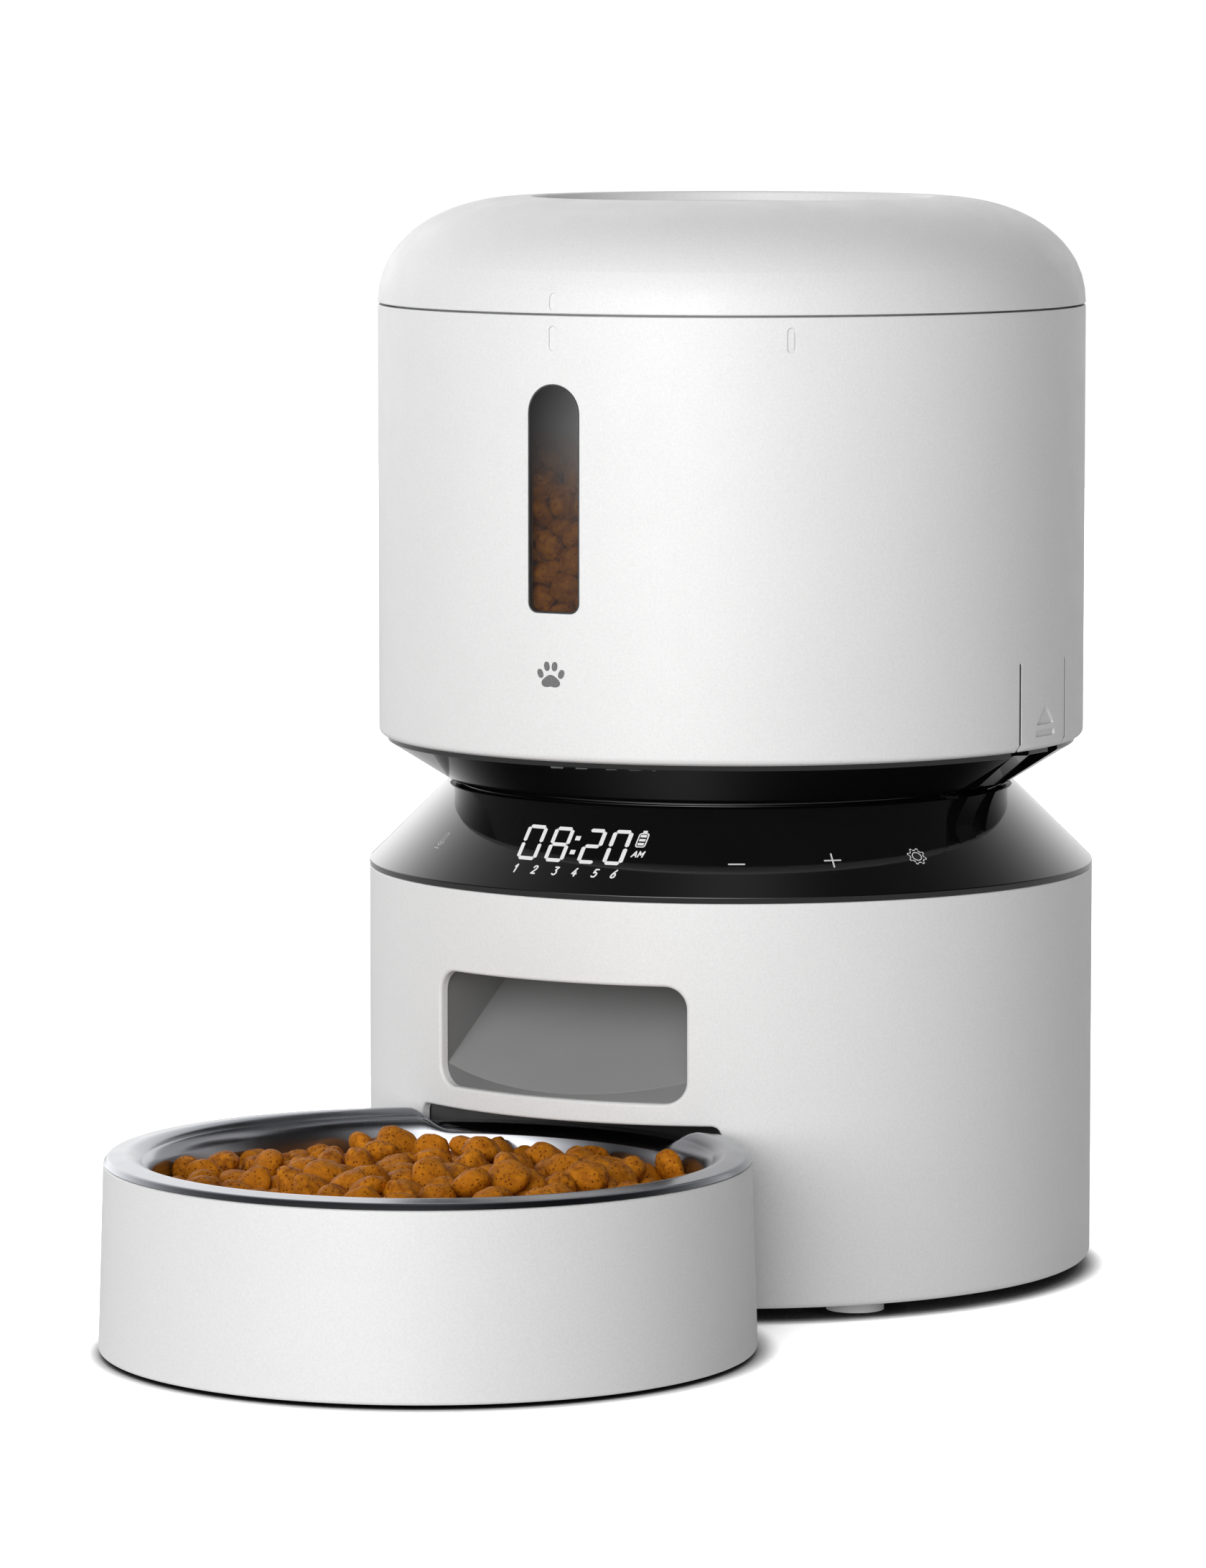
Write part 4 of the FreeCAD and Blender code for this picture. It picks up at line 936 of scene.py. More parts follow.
def build_neck():
    """The gloss underside of the hopper, cut out at both sides for the release arms."""
    outline = profile_of([(62.0, 125.5), (71.4, 125.5), (71.4, 131.4), (75.6, 131.4), (91.6, 141.4),
                          (91.6, 143.0), (89.4, 143.0), (74.9, 133.2), (69.6, 133.2), (69.6, 127.3),
                          (62.0, 127.3)],
                         [0.2, 0.5, 0.5, 0.6, 0.25, 0.2, 0.2, 0.6, 0.6, 0.5, 0.2], run=3.0, turn=12)
    half = SLIT_OUT
    limits = math.pi / 2 - np.arcsin(half / outline[:, 0])
    soup = Soup()
    for start in (0.0, math.pi):
        soup.join(swept(outline, [start + limits * share for share in np.linspace(-1, 1, 151)]))
    bridge = profile_of(rectangle(62.0, 65.4, 125.5, 127.3), 0.2, turn=30)
    for side in (-1, 1):
        soup.join(swept(bridge, side * math.pi / 2 + math.asin(half / 63.7) * np.linspace(-1, 1, 25)))
    as_object("neck_gloss", soup, GLOSS, "hopper", ["neck_cone"], sharp=50.0)


# ---- lid -----------------------------------------------------------------------------------------

def lid_profile(inset=0.0):
    """Shoulder, flat ring and dish, from the seam to the middle."""
    corner, power = 54.0, 2.14
    wide, tall = TANK_R - corner - inset, LID_TOP - LID_LOW - inset
    points = []
    for t in np.linspace(0, math.pi / 2, 60):
        c, s = max(0.0, math.cos(t)), math.sin(t)
        points.append((corner + wide * c ** (2 / power), LID_LOW + tall * s ** (2 / power)))
    dish, floor = 53.0 - inset * 0.5, 276.6 - inset
    rest = profile_of([(corner + 0.6, LID_TOP - inset), (dish + 0.1, LID_TOP - inset), (dish - 3, floor),
                       (0.0, floor)], [0, 0.9, 2.2, 0], closed=False, run=5.0, turn=8)
    return np.vstack([points[:-1], rest[1:]])


def build_lid():
    """The crown: a low band with the lock mark, and turned faces above it and inside."""
    skin, inner_skin = Skin(lid_profile(), TANK_R), Skin(lid_profile(LID_WALL), TANK_R)
    quarter = TANK_R * math.pi / 2
    split = 11.0
    bottom = Outline(line(-2 * quarter, 2 * quarter, 0.0), edge(0.35, LID_WALL))
    mark = Outline(capsule(MARK_HALF, 0.9, 5.3), pocket_levels(MARK_DEEP))
    columns = np.linspace(-2 * quarter, 2 * quarter, 2 * round(2 * quarter / 2.4) + 1)
    low_path, mark_path = bottom.level(0)[0], mark.level(0)[0]
    rows = np.linspace(low_path[0][1], split, 4)[1:-1]
    border = np.vstack([low_path, [(2 * quarter, y) for y in rows], [(u, split) for u in columns[::-1]],
                        [(-2 * quarter, y) for y in rows[::-1]]])
    grid = np.array([(u, y) for u in columns[1:-1] for y in rows])
    grid = grid[np.array([np.min(np.hypot(*(mark_path - g).T)) for g in grid]) > 1.3]
    grid = grid[~inside(grid, [mark_path])]
    points, triangles = fill([border, mark_path], grid)
    soup = Soup()
    soup.add(skin.at(points[:, 0], points[:, 1], 0.0), triangles.tolist())
    sink(soup, skin, mark)
    soup.rings(bottom.rings(skin), closed=False)
    turns = columns[:-1]

    def turned_faces(first, face, heights):
        """Rings over the heights along a skin, closed by a flat face in the middle."""
        rings = [first] + [face.at(turns, np.full(len(turns), v), 0.0) for v in heights]
        soup.rings(rings)
        soup.add(rings[-1], [list(range(len(turns)))])

    above = [v for v in skin.run if v > split + 0.2][:-1]
    turned_faces(skin.at(turns, np.full(len(turns), split), 0.0), skin, above)
    seam_v = bottom.level(-1)[0][0][1]
    turned_faces(skin.at(turns, np.full(len(turns), seam_v), LID_WALL), inner_skin, inner_skin.run[1:-1])
    as_object("lid_crown", soup, WHITE, "lid", ["lid_shell"])


# ---- bowl ----------------------------------------------------------------------------------------

def rear_dip(points, floor, squeeze_top, keep=RIM_TOP):
    """Press a rim down smoothly where it passes under the base wall."""
    reach = np.hypot(points[:, 0], points[:, 1])
    share = np.clip((103.6 - reach) / 5.4, 0, 1)
    share = share * share * (3 - 2 * share)
    z = points[:, 2]
    pressed = np.where(z > floor, floor + (z - floor) * (squeeze_top - floor) / (keep - floor), z)
    points[:, 2] = z + (pressed - z) * share
    return points


def build_bowl():
    """The white stand, its wall pressed down where it passes under the base, and the steel basin in it."""
    low, high, top_r, wall = 1.0, 48.1, 81.2, 2.2
    outline = profile_of([(0.01, low), (STAND_R, low), (top_r, high), (top_r - wall, high),
                          (STAND_R - wall, low + 3.0), (0.01, low + 3.0)], [0, 0.9, 0.6, 0.5, 2.0, 0],
                         closed=False, run=4.0, turn=12)
    soup = turned(outline, 360, (0.0, BOWL_Y), wrap=False)
    soup.points = [rear_dip(np.vstack(soup.points), 40.0, 46.0, high)]
    as_object("stand_wall", soup, WHITE, "bowl", ["bowl_stand"], origin=(0.0, BOWL_Y))

    r, top, lip_low = RIM_R, RIM_TOP - 1.5, 48.3
    outer = profile_of([(0.01, 14.0), (54.0, 14.0), (65.0, 22.0), (70.6, 48.4), (74.6, top + 0.25),
                        (r - 1.0, top - 0.4), (r, lip_low)], [0, 13.0, 22.0, 5.5, 4.0, 1.2, 0], closed=False,
                       run=2.5, turn=7)
    inner = profile_of([(r - 0.9, lip_low), (r - 1.7, top - 1.4), (74.9, top - 0.8), (69.7, 48.4),
                        (64.0, 22.0), (54.0, 13.0), (0.01, 13.0)], [0, 0.6, 3.6, 5.0, 22.0, 13.0, 0],
                       closed=False, run=3.0, turn=10)
    steel = turned([*outer, *inner], 384, (0.0, BOWL_Y), wrap=False)
    steel.points = [rear_dip(np.vstack(steel.points), 43.5, 47.2)]
    as_object("bowl_steel", steel, SPUN, "bowl", ["steel_bowl"], origin=(0.0, BOWL_Y),
              sharp=60.0)


# ---- printed and lit marks -----------------------------------------------------------------------

def cone_skin():
    return Skin(np.linspace(CONE_FOOT, CONE_TOP, 6), 85.0)


def dense(loop, step=0.8):
    """Extra points along a polygon's sides, so that it follows a curved surface."""
    loop = np.array(loop, float)
    out = []
    for a, b in zip(loop, np.roll(loop, -1, axis=0)):
        count = max(1, math.ceil(np.linalg.norm(b - a) / step))
        out += [a + (b - a) * k / count for k in range(count)]
    return np.array(out)


def decal(soup, skin, loops, lift=0.045, deep=0.05):
    """A closed thin solid of one outline and its holes."""
    raised_patch(soup, skin, loops[0], -lift, deep, holes=loops[1:])


class Display:
    """Glyph coordinates on the cone: x to the right and z up, both in millimetres."""

    def __init__(self):
        self.skin = cone_skin()
        self.soup = Soup()

    def to_skin(self, points):
        points = np.array(points, float)
        x = points[:, 0] - 0.08 * (points[:, 1] - 120.5)
        z = points[:, 1]
        v = np.array([self.skin.v_of(h) for h in z])
        radius = np.interp(v, self.skin.run, self.skin.profile[:, 0])
        return np.c_[np.arcsin(np.clip(x / radius, -1, 1)) * self.skin.radius, v]

    def add(self, outline, holes=()):
        loops = [self.to_skin(dense(outline))] + [self.to_skin(dense(h)) for h in holes]
        decal(self.soup, self.skin, loops)


SEGMENTS = {"0": "abcdef", "8": "abcdefg", "2": "abged"}
STROKES = {
    "1": [[(0.25, 0.72), (0.62, 1.0), (0.62, 0.0)]],
    "2": [[(0.05, 0.75), (0.2, 0.95), (0.5, 1.0), (0.8, 0.92), (0.85, 0.7), (0.7, 0.5), (0.05, 0.0),
           (0.92, 0.0)]],
    "3": [[(0.1, 1.0), (0.88, 1.0), (0.48, 0.6), (0.8, 0.5), (0.9, 0.28), (0.75, 0.06), (0.4, 0.0),
           (0.05, 0.12)]],
    "4": [[(0.62, 1.0), (0.05, 0.3), (0.95, 0.3)], [(0.7, 0.55), (0.7, 0.0)]],
    "5": [[(0.88, 1.0), (0.25, 1.0), (0.15, 0.55), (0.5, 0.62), (0.85, 0.5), (0.9, 0.25), (0.7, 0.04),
           (0.35, 0.0), (0.05, 0.1)]],
    "6": [[(0.7, 1.0), (0.3, 0.62), (0.1, 0.3), (0.2, 0.07), (0.5, 0.0), (0.8, 0.07), (0.9, 0.3),
           (0.75, 0.52), (0.45, 0.58), (0.2, 0.48)]],
    "A": [[(0.0, 0.0), (0.5, 1.0), (1.0, 0.0)], [(0.2, 0.32), (0.8, 0.32)]],
    "M": [[(0.0, 0.0), (0.0, 1.0), (0.5, 0.35), (1.0, 1.0), (1.0, 0.0)]],
}


DIGIT_LOW, DIGIT_HIGH = 116.85, 124.2


def digit(display, character, left, right, wide=1.12, tall=0.8):
    """A seven-segment digit with mitred ends; wide and tall are the stroke's sizes in x and z."""
    low, high = DIGIT_LOW, DIGIT_HIGH
    middle, gap = (low + high) / 2, 0.16
    x_half, z_half = wide / 2, tall / 2
    for name in SEGMENTS[character]:
        if name in "adg":
            z = {"a": high, "d": low, "g": middle}[name]
            a, b, mitre = left + gap, right - gap, x_half * 0.72
            display.add([(a, z), (a + mitre, z - z_half), (b - mitre, z - z_half), (b, z),
                         (b - mitre, z + z_half), (a + mitre, z + z_half)])
        else:
            x = right if name in "bc" else left
            bottom, top = (middle, high) if name in "bf" else (low, middle)
            a, b, mitre = bottom + gap * 0.8, top - gap * 0.8, z_half * 0.72
            display.add([(x, a), (x + x_half, a + mitre), (x + x_half, b - mitre), (x, b),
                         (x - x_half, b - mitre), (x - x_half, a + mitre)])


def written(character, x, z, wide, tall, pen, slant=0.3):
    """Outlines of a small stroked figure; z sizes are heights, so strokes are thinner in z."""
    out = []
    for figure in STROKES[character]:
        placed = [(x + (px - 0.5) * wide + slant * (py - 0.5) * tall, z + (py - 0.5) * tall)
                  for px, py in figure]
        for a, b in zip(placed, placed[1:]):
            out.append(pen_stroke(a, b, pen))
    return out


def pen_stroke(a, b, pen, squash=0.72):
    """A round-ended stroke in a plane whose second axis is squashed."""
    a = np.array([a[0], a[1] / squash])
    b = np.array([b[0], b[1] / squash])
    d = b - a
    angle = math.atan2(d[1], d[0])
    out = []
    for centre, start in ((b, angle - math.pi / 2), (a, angle + math.pi / 2)):
        for k in range(7):
            t = start + math.pi * k / 6
            out.append((centre[0] + pen / 2 * math.cos(t), (centre[1] + pen / 2 * math.sin(t)) * squash))
    return out


def build_display():
    """The lit time, the small numbers under it, the battery sign, the key legends and the microphone mark."""
    display = Display()
    for character, left, right in (("0", -14.25, -9.05), ("8", -5.52, -0.78), ("2", 4.32, 8.65),
                                   ("0", 11.5, 15.85)):
        digit(display, character, left, right)
    colon = 1.62
    for z in (122.2, 118.95):
        display.add(rectangle(colon - 0.72, colon + 0.72, z - 0.5, z + 0.5))
    for number, x in enumerate((-13.06, -6.95, -0.68, 5.03, 10.75, 15.9), start=1):
        for outline in written(str(number), x - 0.45, 114.38, 1.25, 1.75, 0.42):
            display.add(outline)
    for character, x in (("A", 18.95), ("M", 20.55)):
        for outline in written(character, x - 0.1, 119.15, 1.15, 1.25, 0.34, 0.25):
            display.add(outline)
    left, right, low, high = 17.95, 20.65, 120.75, 124.05
    outer = profile_of(rectangle(left, right, low, high), 0.6, run=1.5, turn=22)
    inner = profile_of(rectangle(left + 0.3, right - 0.3, low + 0.22, high - 0.22), 0.4, run=1.5, turn=22)
    display.add(outer, [inner])
    display.add(rectangle(18.75, 19.85, 124.12, 124.6))
    for z in (121.5, 122.43, 123.36):
        display.add(rectangle(18.5, 20.1, z - 0.27, z + 0.27))
    as_object("display_digits", display.soup, LIT, "base", sharp=20.0, weighted=False)

    skin = cone_skin()

    def local(azimuth, z, points):
        """Points given across and up the slope, about a place on the cone."""
        points = np.array(points, float)
        v = skin.v_of(z)
        radius = float(np.interp(v, skin.run, skin.profile[:, 0]))
        return np.c_[(math.radians(azimuth) + points[:, 0] / radius) * skin.radius, v + points[:, 1]]

    def straight(a, b, pen):
        return dense(pen_stroke(a, b, pen, 1.0), 0.6)

    keys = Soup()
    decal(keys, skin, [local(30.05, 117.2, straight((-2.0, 0.0), (2.0, 0.0), 0.42))])
    decal(keys, skin, [local(46.3, 117.74, plus_outline(2.3, 0.2))])
    gear = (62.0, 117.69)
    decal(keys, skin, [local(*gear, gear_outline(8, 2.72, 2.16)),
                       local(*gear, gear_outline(8, 2.44, 1.90)[::-1])])
    circle = np.array([(math.cos(a), math.sin(a)) for a in np.linspace(0, TAU, 40, False)])
    decal(keys, skin, [local(*gear, circle * 1.42), local(*gear, circle * 1.17)])
    as_object("key_legends", keys, KEY_GLOW, "base", sharp=20.0, weighted=False)

    mic = Soup()
    mark, pen, wide, low, high = (-30.3, 118.78), 0.26, 0.75, -1.5, 2.1
    body_out = profile_of(rectangle(-wide, wide, low, high), 0.74, run=1.0, turn=20)
    body_in = profile_of(rectangle(pen - wide, wide - pen, low + pen, high - pen), 0.48, run=1.0, turn=20)
    decal(mic, skin, [local(*mark, body_out), local(*mark, body_in)])
    cradle = [(r * math.cos(a), -0.95 + r * math.sin(a))
              for r, start, end in ((1.35, math.pi, TAU), (1.35 - pen, TAU, math.pi))
              for a in np.linspace(start, end, 16)]
    decal(mic, skin, [local(*mark, cradle)])
    decal(mic, skin, [local(*mark, straight((0.0, -2.35), (0.0, -3.1), pen))])
    decal(mic, skin, [local(*mark, straight((-1.0, -3.25), (1.0, -3.25), pen))])
    as_object("microphone_legend", mic, FAINT_GLOW, "base", sharp=20.0, weighted=False)


def plus_outline(reach, pen):
    return dense([(-pen, -reach), (pen, -reach), (pen, -pen), (reach, -pen), (reach, pen), (pen, pen),
                  (pen, reach), (-pen, reach), (-pen, pen), (-reach, pen), (-reach, -pen), (-pen, -pen)], 0.6)


def gear_outline(teeth, outer, inner):
    out = []
    pitch = TAU / teeth
    for k in range(teeth):
        start = k * pitch
        for part, r in ((0.02, inner), (0.14, inner), (0.26, inner), (0.36, outer), (0.5, outer),
                        (0.66, outer), (0.78, inner), (0.9, inner)):
            angle = start + part * pitch
            out.append((r * math.cos(angle), r * math.sin(angle)))
    return out


def build_paw():
    """A generic paw print where the photograph has its maker's sign."""
    skin = tank_skin()
    v = skin.v_of
    soup = Soup()
    middle, base = -0.6, v(163.4)

    def blob(x, y, wide, tall, tilt=0.0, power=2.2):
        points = []
        for a in np.linspace(0, TAU, 40, False):
            c, s = math.cos(a), math.sin(a)
            px = wide * math.copysign(abs(c) ** (2 / power), c)
            py = tall * math.copysign(abs(s) ** (2 / power), s)
            t = math.radians(tilt)
            points.append((x + px * math.cos(t) - py * math.sin(t), y + px * math.sin(t) + py * math.cos(t)))
        return np.array(points)

    pad = []
    for a in np.linspace(0, TAU, 60, False):
        r = 2.2 + 0.35 * math.cos(2 * a) - 0.28 * math.sin(3 * a)
        pad.append((middle + r * math.cos(a) * 1.05, base + r * math.sin(a) * 0.82))
    decal(soup, skin, [np.array(pad)], 0.03, 0.05)
    for x, y, tilt in ((-3.1, 2.0, 24), (-1.15, 3.9, 8), (1.15, 3.9, -8), (3.1, 2.0, -24)):
        decal(soup, skin, [blob(middle + x, base + y, 0.85, 1.22, tilt)], 0.03, 0.05)
    as_object("paw_print", soup, GREY_INK, "hopper", sharp=20.0, weighted=False)


# ---- kibble --------------------------------------------------------------------------------------

def kibble_shape(seed, level):
    """One unit kibble: a flattened round nugget with lumps; points and triangles."""
    work = bmesh.new()
    bmesh.ops.create_icosphere(work, subdivisions=level, radius=1.0)
    offset = Vector((seed * 7.31, seed * 3.17, seed * 5.77))
    points = []
    draw = random.Random(seed)
    lean = draw.uniform(-0.18, 0.18)
    for vert in work.verts:
        d = vert.co.normalized()
        lump = 0.13 * noise.noise(d * 1.1 + offset) + 0.05 * noise.noise(d * 2.7 + offset)
        fine = 0.022 * noise.noise(d * 7.0 + offset)
        flat = 1.0 / (abs(d.x) ** 2.35 + abs(d.y) ** 2.35 + abs(d.z) ** 2.1) ** (1 / 2.3)
        p = d * flat * (1.0 + lump + fine)
        points.append((p.x + lean * p.z, p.y, p.z))
    faces = [[v.index for v in f.verts] for f in work.faces]
    work.free()
    return np.array(points), faces


KIBBLE_KINDS = 9
BOWL_KIBBLE, WINDOW_KIBBLE = 330, 200
# the top layers in the tank: how many in the upper one and in both, and the level in millimetres
UPPER_KIBBLE, TOP_KIBBLE, TOP_LEVEL = 340, 560, 219.0
SIM_SCALE, SIM_GRAVITY = 0.1, -90.0


def kibble_mesh(name, placed, body, centre_y):
    """All kibble of one heap as one mesh. placed: (kind, size triple, matrix) in millimetres."""
    shapes = [kibble_shape(k + 1, 4) for k in range(KIBBLE_KINDS)]
    points, faces, bake, count = [], [], [], 0
    draw = random.Random(77)
    for kind, size, matrix in placed:
        shape, triangles = shapes[kind]
        turned_points = (shape * np.array(size)) @ np.array(matrix.to_3x3()).T + np.array(matrix.translation)
        points.append(turned_points)
        faces.append(np.array(triangles) + count)
        bake += [draw.random() * 0.75] * len(shape)
        count += len(shape)
    points = np.vstack(points) * MM
    faces = np.vstack(faces)
    mesh = bpy.data.meshes.new(name)
    mesh.from_pydata(points.tolist(), [], faces.tolist())
    mesh.attributes.new("bake", "FLOAT", "POINT").data.foreach_set("value", bake)
    mesh.materials.append(KIBBLE)
    mesh.polygons.foreach_set("use_smooth", [True] * len(mesh.polygons))
    thing = bpy.data.objects.new(name, mesh)
    bpy.context.scene.collection.objects.link(thing)
    thing.location = (0.0, centre_y * MM, 0.0)
    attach(thing, body)
    return thing


def kibble_size(draw):
    wide = draw.uniform(4.5, 5.6)
    return (wide, wide * draw.uniform(0.86, 1.0), wide * draw.uniform(0.56, 0.70))


def settle(name, vessel, drops, frames):
    """Drop kibble into a vessel with rigid bodies and read where it comes to rest.

    The simulation works in millimetres times SIM_SCALE. drops: (kind, size, position, rotation).
    """
    scene = bpy.context.scene
    if scene.rigidbody_world is None:
        bpy.ops.rigidbody.world_add()
    world = scene.rigidbody_world
    world.collection = bpy.data.collections.new(name + "_sim")
    world.substeps_per_frame = 6
    world.solver_iterations = 12
    scene.gravity = (0, 0, SIM_GRAVITY)
    world.point_cache.frame_start = 1
    world.point_cache.frame_end = frames + 1
    mesh = bpy.data.meshes.new(name + "_vessel")
    mesh.from_pydata((np.vstack(vessel.points) * SIM_SCALE).tolist(), [], vessel.faces)
    holder = bpy.data.objects.new(name + "_vessel", mesh)
    scene.collection.objects.link(holder)

    def body_for(thing, kind, shape):
        world.collection.objects.link(thing)
        with bpy.context.temp_override(object=thing, active_object=thing, selected_objects=[thing]):
            if thing.rigid_body is None:
                bpy.ops.rigidbody.object_add(type=kind)
        thing.rigid_body.type = kind
        thing.rigid_body.collision_shape = shape
        thing.rigid_body.friction = 0.55
        thing.rigid_body.restitution = 0.02
        thing.rigid_body.use_margin = True
        thing.rigid_body.collision_margin = 0.012 if shape == "MESH" else 0.004
        if kind == "ACTIVE":
            thing.rigid_body.linear_damping = 0.12
            thing.rigid_body.angular_damping = 0.25

    body_for(holder, "PASSIVE", "MESH")
    low = [kibble_shape(k + 1, 2) for k in range(KIBBLE_KINDS)]
    movers = []
    for number, (kind, size, position, rotation) in enumerate(drops):
        shape, triangles = low[kind]
        mesh = bpy.data.meshes.new("grain")
        mesh.from_pydata((shape * np.array(size) * SIM_SCALE * 0.985).tolist(), [], triangles)
        thing = bpy.data.objects.new(f"{name}_{number:04d}", mesh)
        scene.collection.objects.link(thing)
        thing.location = Vector(position) * SIM_SCALE
        thing.rotation_euler = rotation
        body_for(thing, "ACTIVE", "CONVEX_HULL")
        movers.append((kind, size, thing))
    for step in range(1, frames + 1):
        scene.frame_set(step)
    placed = []
    graph = bpy.context.evaluated_depsgraph_get()
    for kind, size, thing in movers:
        matrix = thing.evaluated_get(graph).matrix_world.copy()
        matrix.translation = matrix.translation / SIM_SCALE
        placed.append((kind, size, matrix))
    for _, _, thing in movers:
        bpy.data.objects.remove(thing)
    bpy.data.objects.remove(holder)
    bpy.ops.rigidbody.world_remove()
    scene.frame_set(1)
    return placed


def slab_vessel(inner, outer, half, low, high):
    """A narrow box between two radii, open at the top, for the simulation."""
    steps = 13
    angles = np.linspace(-half, half, steps)
    soup = Soup()
    soup.rings([np.c_[r * np.sin(angles), -r * np.cos(angles), np.full(steps, z)]
                for r, z in ((inner, high), (inner, low), (outer, low), (outer, high))], closed=False)
    soup.faces += [[i, steps + i, 2 * steps + i, 3 * steps + i] for i in (0, steps - 1)]
    return soup


def build_kibble():
    """The heap in the bowl, the slab of food behind the window and the top layers in the tank."""
    draw = random.Random(20)
    # a hidden mound in the simulation carries the two upper layers
    mound = [(0.05, 41.5), (14.0, 41.0), (28.0, 38.5), (42.0, 34.0), (54.0, 28.0), (62.0, 24.0), (65.5, 24.0),
             (68.5, 40.0), (70.6, 49.5), (73.5, 53.0), (76.0, 70.0), (76.0, 200.0)]
    drops = []
    for number in range(BOWL_KIBBLE):
        reach = 58.0 * math.sqrt(draw.random()) * 0.92
        angle = draw.uniform(0, TAU)
        size = kibble_size(draw)
        place = (reach * math.sin(angle), -reach * math.cos(angle), 58.0 + number * 0.42)
        tilt = Euler([draw.uniform(-0.6, 0.6), draw.uniform(-0.6, 0.6), draw.uniform(0, TAU)])
        drops.append((draw.randrange(KIBBLE_KINDS), size, place, tilt))
    placed = settle("bowl", turned(mound, 96, wrap=False), drops, 110)
    placed = [p for p in placed if p[2].translation.z > 20
              and math.hypot(p[2].translation.x, p[2].translation.y) < 72]
    kibble_mesh("kibble_in_bowl", placed, "bowl", AXIS_Y + BOWL_Y)

    draw = random.Random(31)
    placed, drops = [], []
    inner = TANK_R - TANK_WALL - 0.3
    half = math.radians(13.0)
    for number in range(WINDOW_KIBBLE):
        angle = draw.uniform(-half, half) * 0.8
        reach = draw.uniform(81.5, 86.0)
        size = tuple(0.87 * c for c in kibble_size(draw))
        place = (reach * math.sin(angle), -reach * math.cos(angle), 180.0 + number * 2.4)
        tilt = Euler([draw.uniform(-0.8, 0.8), draw.uniform(-0.8, 0.8), draw.uniform(0, TAU)])
        drops.append((draw.randrange(KIBBLE_KINDS), size, place, tilt))
    placed = settle("tank", slab_vessel(76.5, inner, half, 172.0, 680.0), drops, 170)
    placed = [p for p in placed if 172 < p[2].translation.z < 226]
    limit = inner - 5.8
    spots, tries = [], 0
    while len(spots) < TOP_KIBBLE and tries < 60000:
        tries += 1
        reach, angle = limit * math.sqrt(draw.random()), draw.uniform(0, TAU)
        x, y = reach * math.sin(angle), -reach * math.cos(angle)
        near_window = abs(math.atan2(x, -y)) < half + 0.07 and reach > 68
        if near_window and placed:
            continue
        upper = len(spots) < UPPER_KIBBLE
        spacing = 8.0 if upper else 6.6
        if all((x - sx) ** 2 + (y - sy) ** 2 > spacing ** 2 for sx, sy, _ in spots[-UPPER_KIBBLE:]):
            spots.append((x, y, 0 if upper else 1))
    for x, y, layer in spots:
        size = kibble_size(draw)
        lift = 4.0 * noise.noise(Vector((x * 0.02, y * 0.02, 3.0)))
        tilt = Euler([draw.uniform(-0.5, 0.5), draw.uniform(-0.5, 0.5), draw.uniform(0, TAU)])
        matrix = tilt.to_matrix().to_4x4()
        matrix.translation = (x, y, TOP_LEVEL + lift - 6.0 * layer + draw.uniform(-0.8, 0.8))
        placed.append((draw.randrange(KIBBLE_KINDS), size, matrix))
    kibble_mesh("kibble_in_hopper", placed, "hopper", AXIS_Y)


# ---- studio --------------------------------------------------------------------------------------

# soft lights: azimuth from the front towards +X, elevation, sharpness, strength
LOBES = [(180, 8, 8, 1.3), (-120, 8, 8, 2.2), (0, 8, 8, 3.0), (30, 8, 8, 0.8), (-150, 42, 8, 1.2),
         (-90, 42, 8, 0.2), (0, 6, 24, 2.2), (12, 6, 24, 1.6), (22, 3, 24, 4.4), (12, 24, 24, 1.3),
         (30, 80, 40, 0.34)]
AMBIENT = 0.02
FLOOR_GLOW = 0.228
FLOOR_GAIN = 1.5
# how far from the feeder, in metres, and how steeply the painted contact shadow darkens the floor
PAINTED_SHADOW_REACH, PAINTED_SHADOW_POWER = 0.007, 2.6


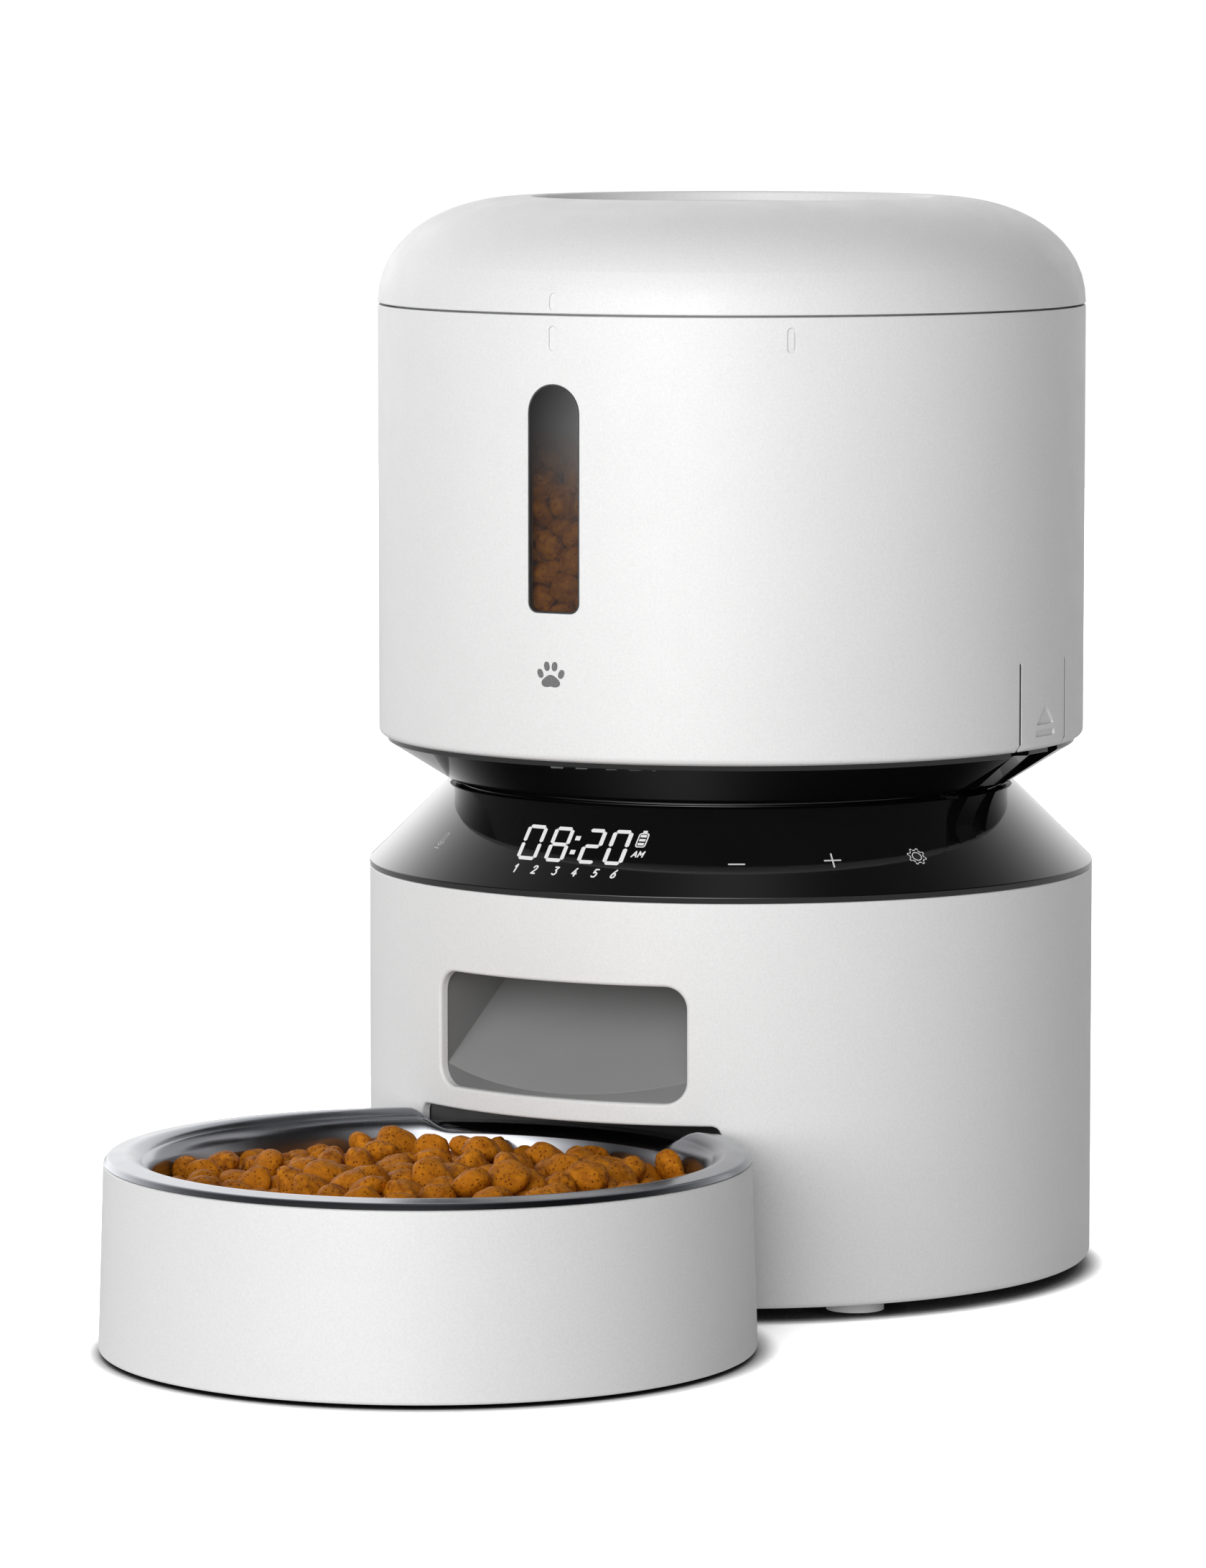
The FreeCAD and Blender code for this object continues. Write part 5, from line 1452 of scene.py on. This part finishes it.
def build_studio():
    """Soft lights in a white room, a white floor with a painted contact shadow under the feeder, and the
    camera.
    """
    scene = bpy.context.scene
    scene.view_settings.view_transform = "Standard"
    scene.view_settings.look = "None"
    world = bpy.data.worlds.new("studio")
    scene.world = world
    world.use_nodes = True
    tree = world.node_tree
    nodes, links = tree.nodes, tree.links
    nodes.clear()
    out = nodes.new("ShaderNodeOutputWorld")
    coords = nodes.new("ShaderNodeTexCoord")

    def lobe(azimuth, elevation, power, strength):
        """Soft light from a direction, in degrees."""
        a, e = math.radians(azimuth), math.radians(elevation)
        dot = nodes.new("ShaderNodeVectorMath")
        dot.operation = "DOT_PRODUCT"
        dot.inputs[1].default_value = (math.sin(a) * math.cos(e), -math.cos(a) * math.cos(e), math.sin(e))
        links.new(coords.outputs["Generated"], dot.inputs[0])
        facing = calc(tree, "MAXIMUM", dot.outputs["Value"], 0.0)
        return calc(tree, "MULTIPLY", calc(tree, "POWER", facing, power), strength)

    total = lobe(*LOBES[0])
    for lamp in LOBES[1:]:
        total = calc(tree, "ADD", total, lobe(*lamp))
    light, white = (nodes.new("ShaderNodeBackground") for _ in range(2))
    links.new(calc(tree, "ADD", total, AMBIENT), light.inputs["Strength"])
    white.inputs["Strength"].default_value = 1.05
    path, mix = nodes.new("ShaderNodeLightPath"), nodes.new("ShaderNodeMixShader")
    links.new(path.outputs["Is Camera Ray"], mix.inputs["Fac"])
    for slot, background in ((1, light), (2, white)):
        background.inputs["Color"].default_value = (1, 1, 1, 1)
        links.new(background.outputs[0], mix.inputs[slot])
    links.new(mix.outputs[0], out.inputs["Surface"])

    size = 3.0
    mesh = bpy.data.meshes.new("floor")
    corners = [(x, y, 0) for x, y in rectangle(-size, size, -size, size)]
    mesh.from_pydata(corners, [], [[0, 1, 2, 3]])
    floor = bpy.data.objects.new("floor", mesh)
    scene.collection.objects.link(floor)
    floor.location.y = AXIS_Y * MM
    made = Finish("floor_white", Roughness=0.9, Specular_IOR_Level=0.1)
    cloud = made.spread(made.noise(3.0, 2.0), 0.0, 1.0)
    made.colour(made.mix(cloud, (0.60, 0.60, 0.60), (0.61, 0.61, 0.61)))
    made.shader.inputs["Emission Color"].default_value = (1, 1, 1, 1)
    made.shader.inputs["Emission Strength"].default_value = FLOOR_GLOW
    first, second = (made.node("ShaderNodeBsdfDiffuse") for _ in range(2))
    # painted contact shadow: for camera rays the floor's colour is darkened by ambient occlusion near the
    # feeder
    close = made.node("ShaderNodeAmbientOcclusion", samples=8)
    close.inputs["Distance"].default_value = PAINTED_SHADOW_REACH
    contact = calc(made.tree, "POWER", close.outputs["AO"], PAINTED_SHADOW_POWER)
    contact = calc(made.tree, "MULTIPLY", contact, FLOOR_GAIN)
    for part in (first, second):
        made.link(contact, part.inputs["Color"])
    both, seen, ray = (made.node(kind) for kind in ("ShaderNodeAddShader", "ShaderNodeMixShader",
                                                    "ShaderNodeLightPath"))
    made.link(first.outputs[0], both.inputs[0])
    made.link(second.outputs[0], both.inputs[1])
    made.link(ray.outputs["Is Camera Ray"], seen.inputs["Fac"])
    made.link(made.shader.outputs[0], seen.inputs[1])
    made.link(both.outputs[0], seen.inputs[2])
    made.link(seen.outputs[0], made.node("ShaderNodeOutputMaterial", is_active_output=True).inputs["Surface"])
    mesh.materials.append(made.material)

    camera = bpy.data.cameras.new("camera")
    camera.lens, camera.sensor_width = 171.663, 36.0
    camera.clip_start, camera.clip_end = 0.05, 50.0
    view = bpy.data.objects.new("camera", camera)
    scene.collection.objects.link(view)
    view.location = (0.96567, -1.66676, 0.33361)
    view.rotation_euler = (math.radians(90 - 5.885), 0.0, math.radians(30.045))
    scene.camera = view


build_studio()
build_base()
build_cone()
build_tank()
build_window()
build_tab(1, "release_right", "release_tab_right")
build_tab(-1, "release_left", "release_tab_left")
build_neck()
build_lid()
build_bowl()
build_display()
build_paw()
build_kibble()
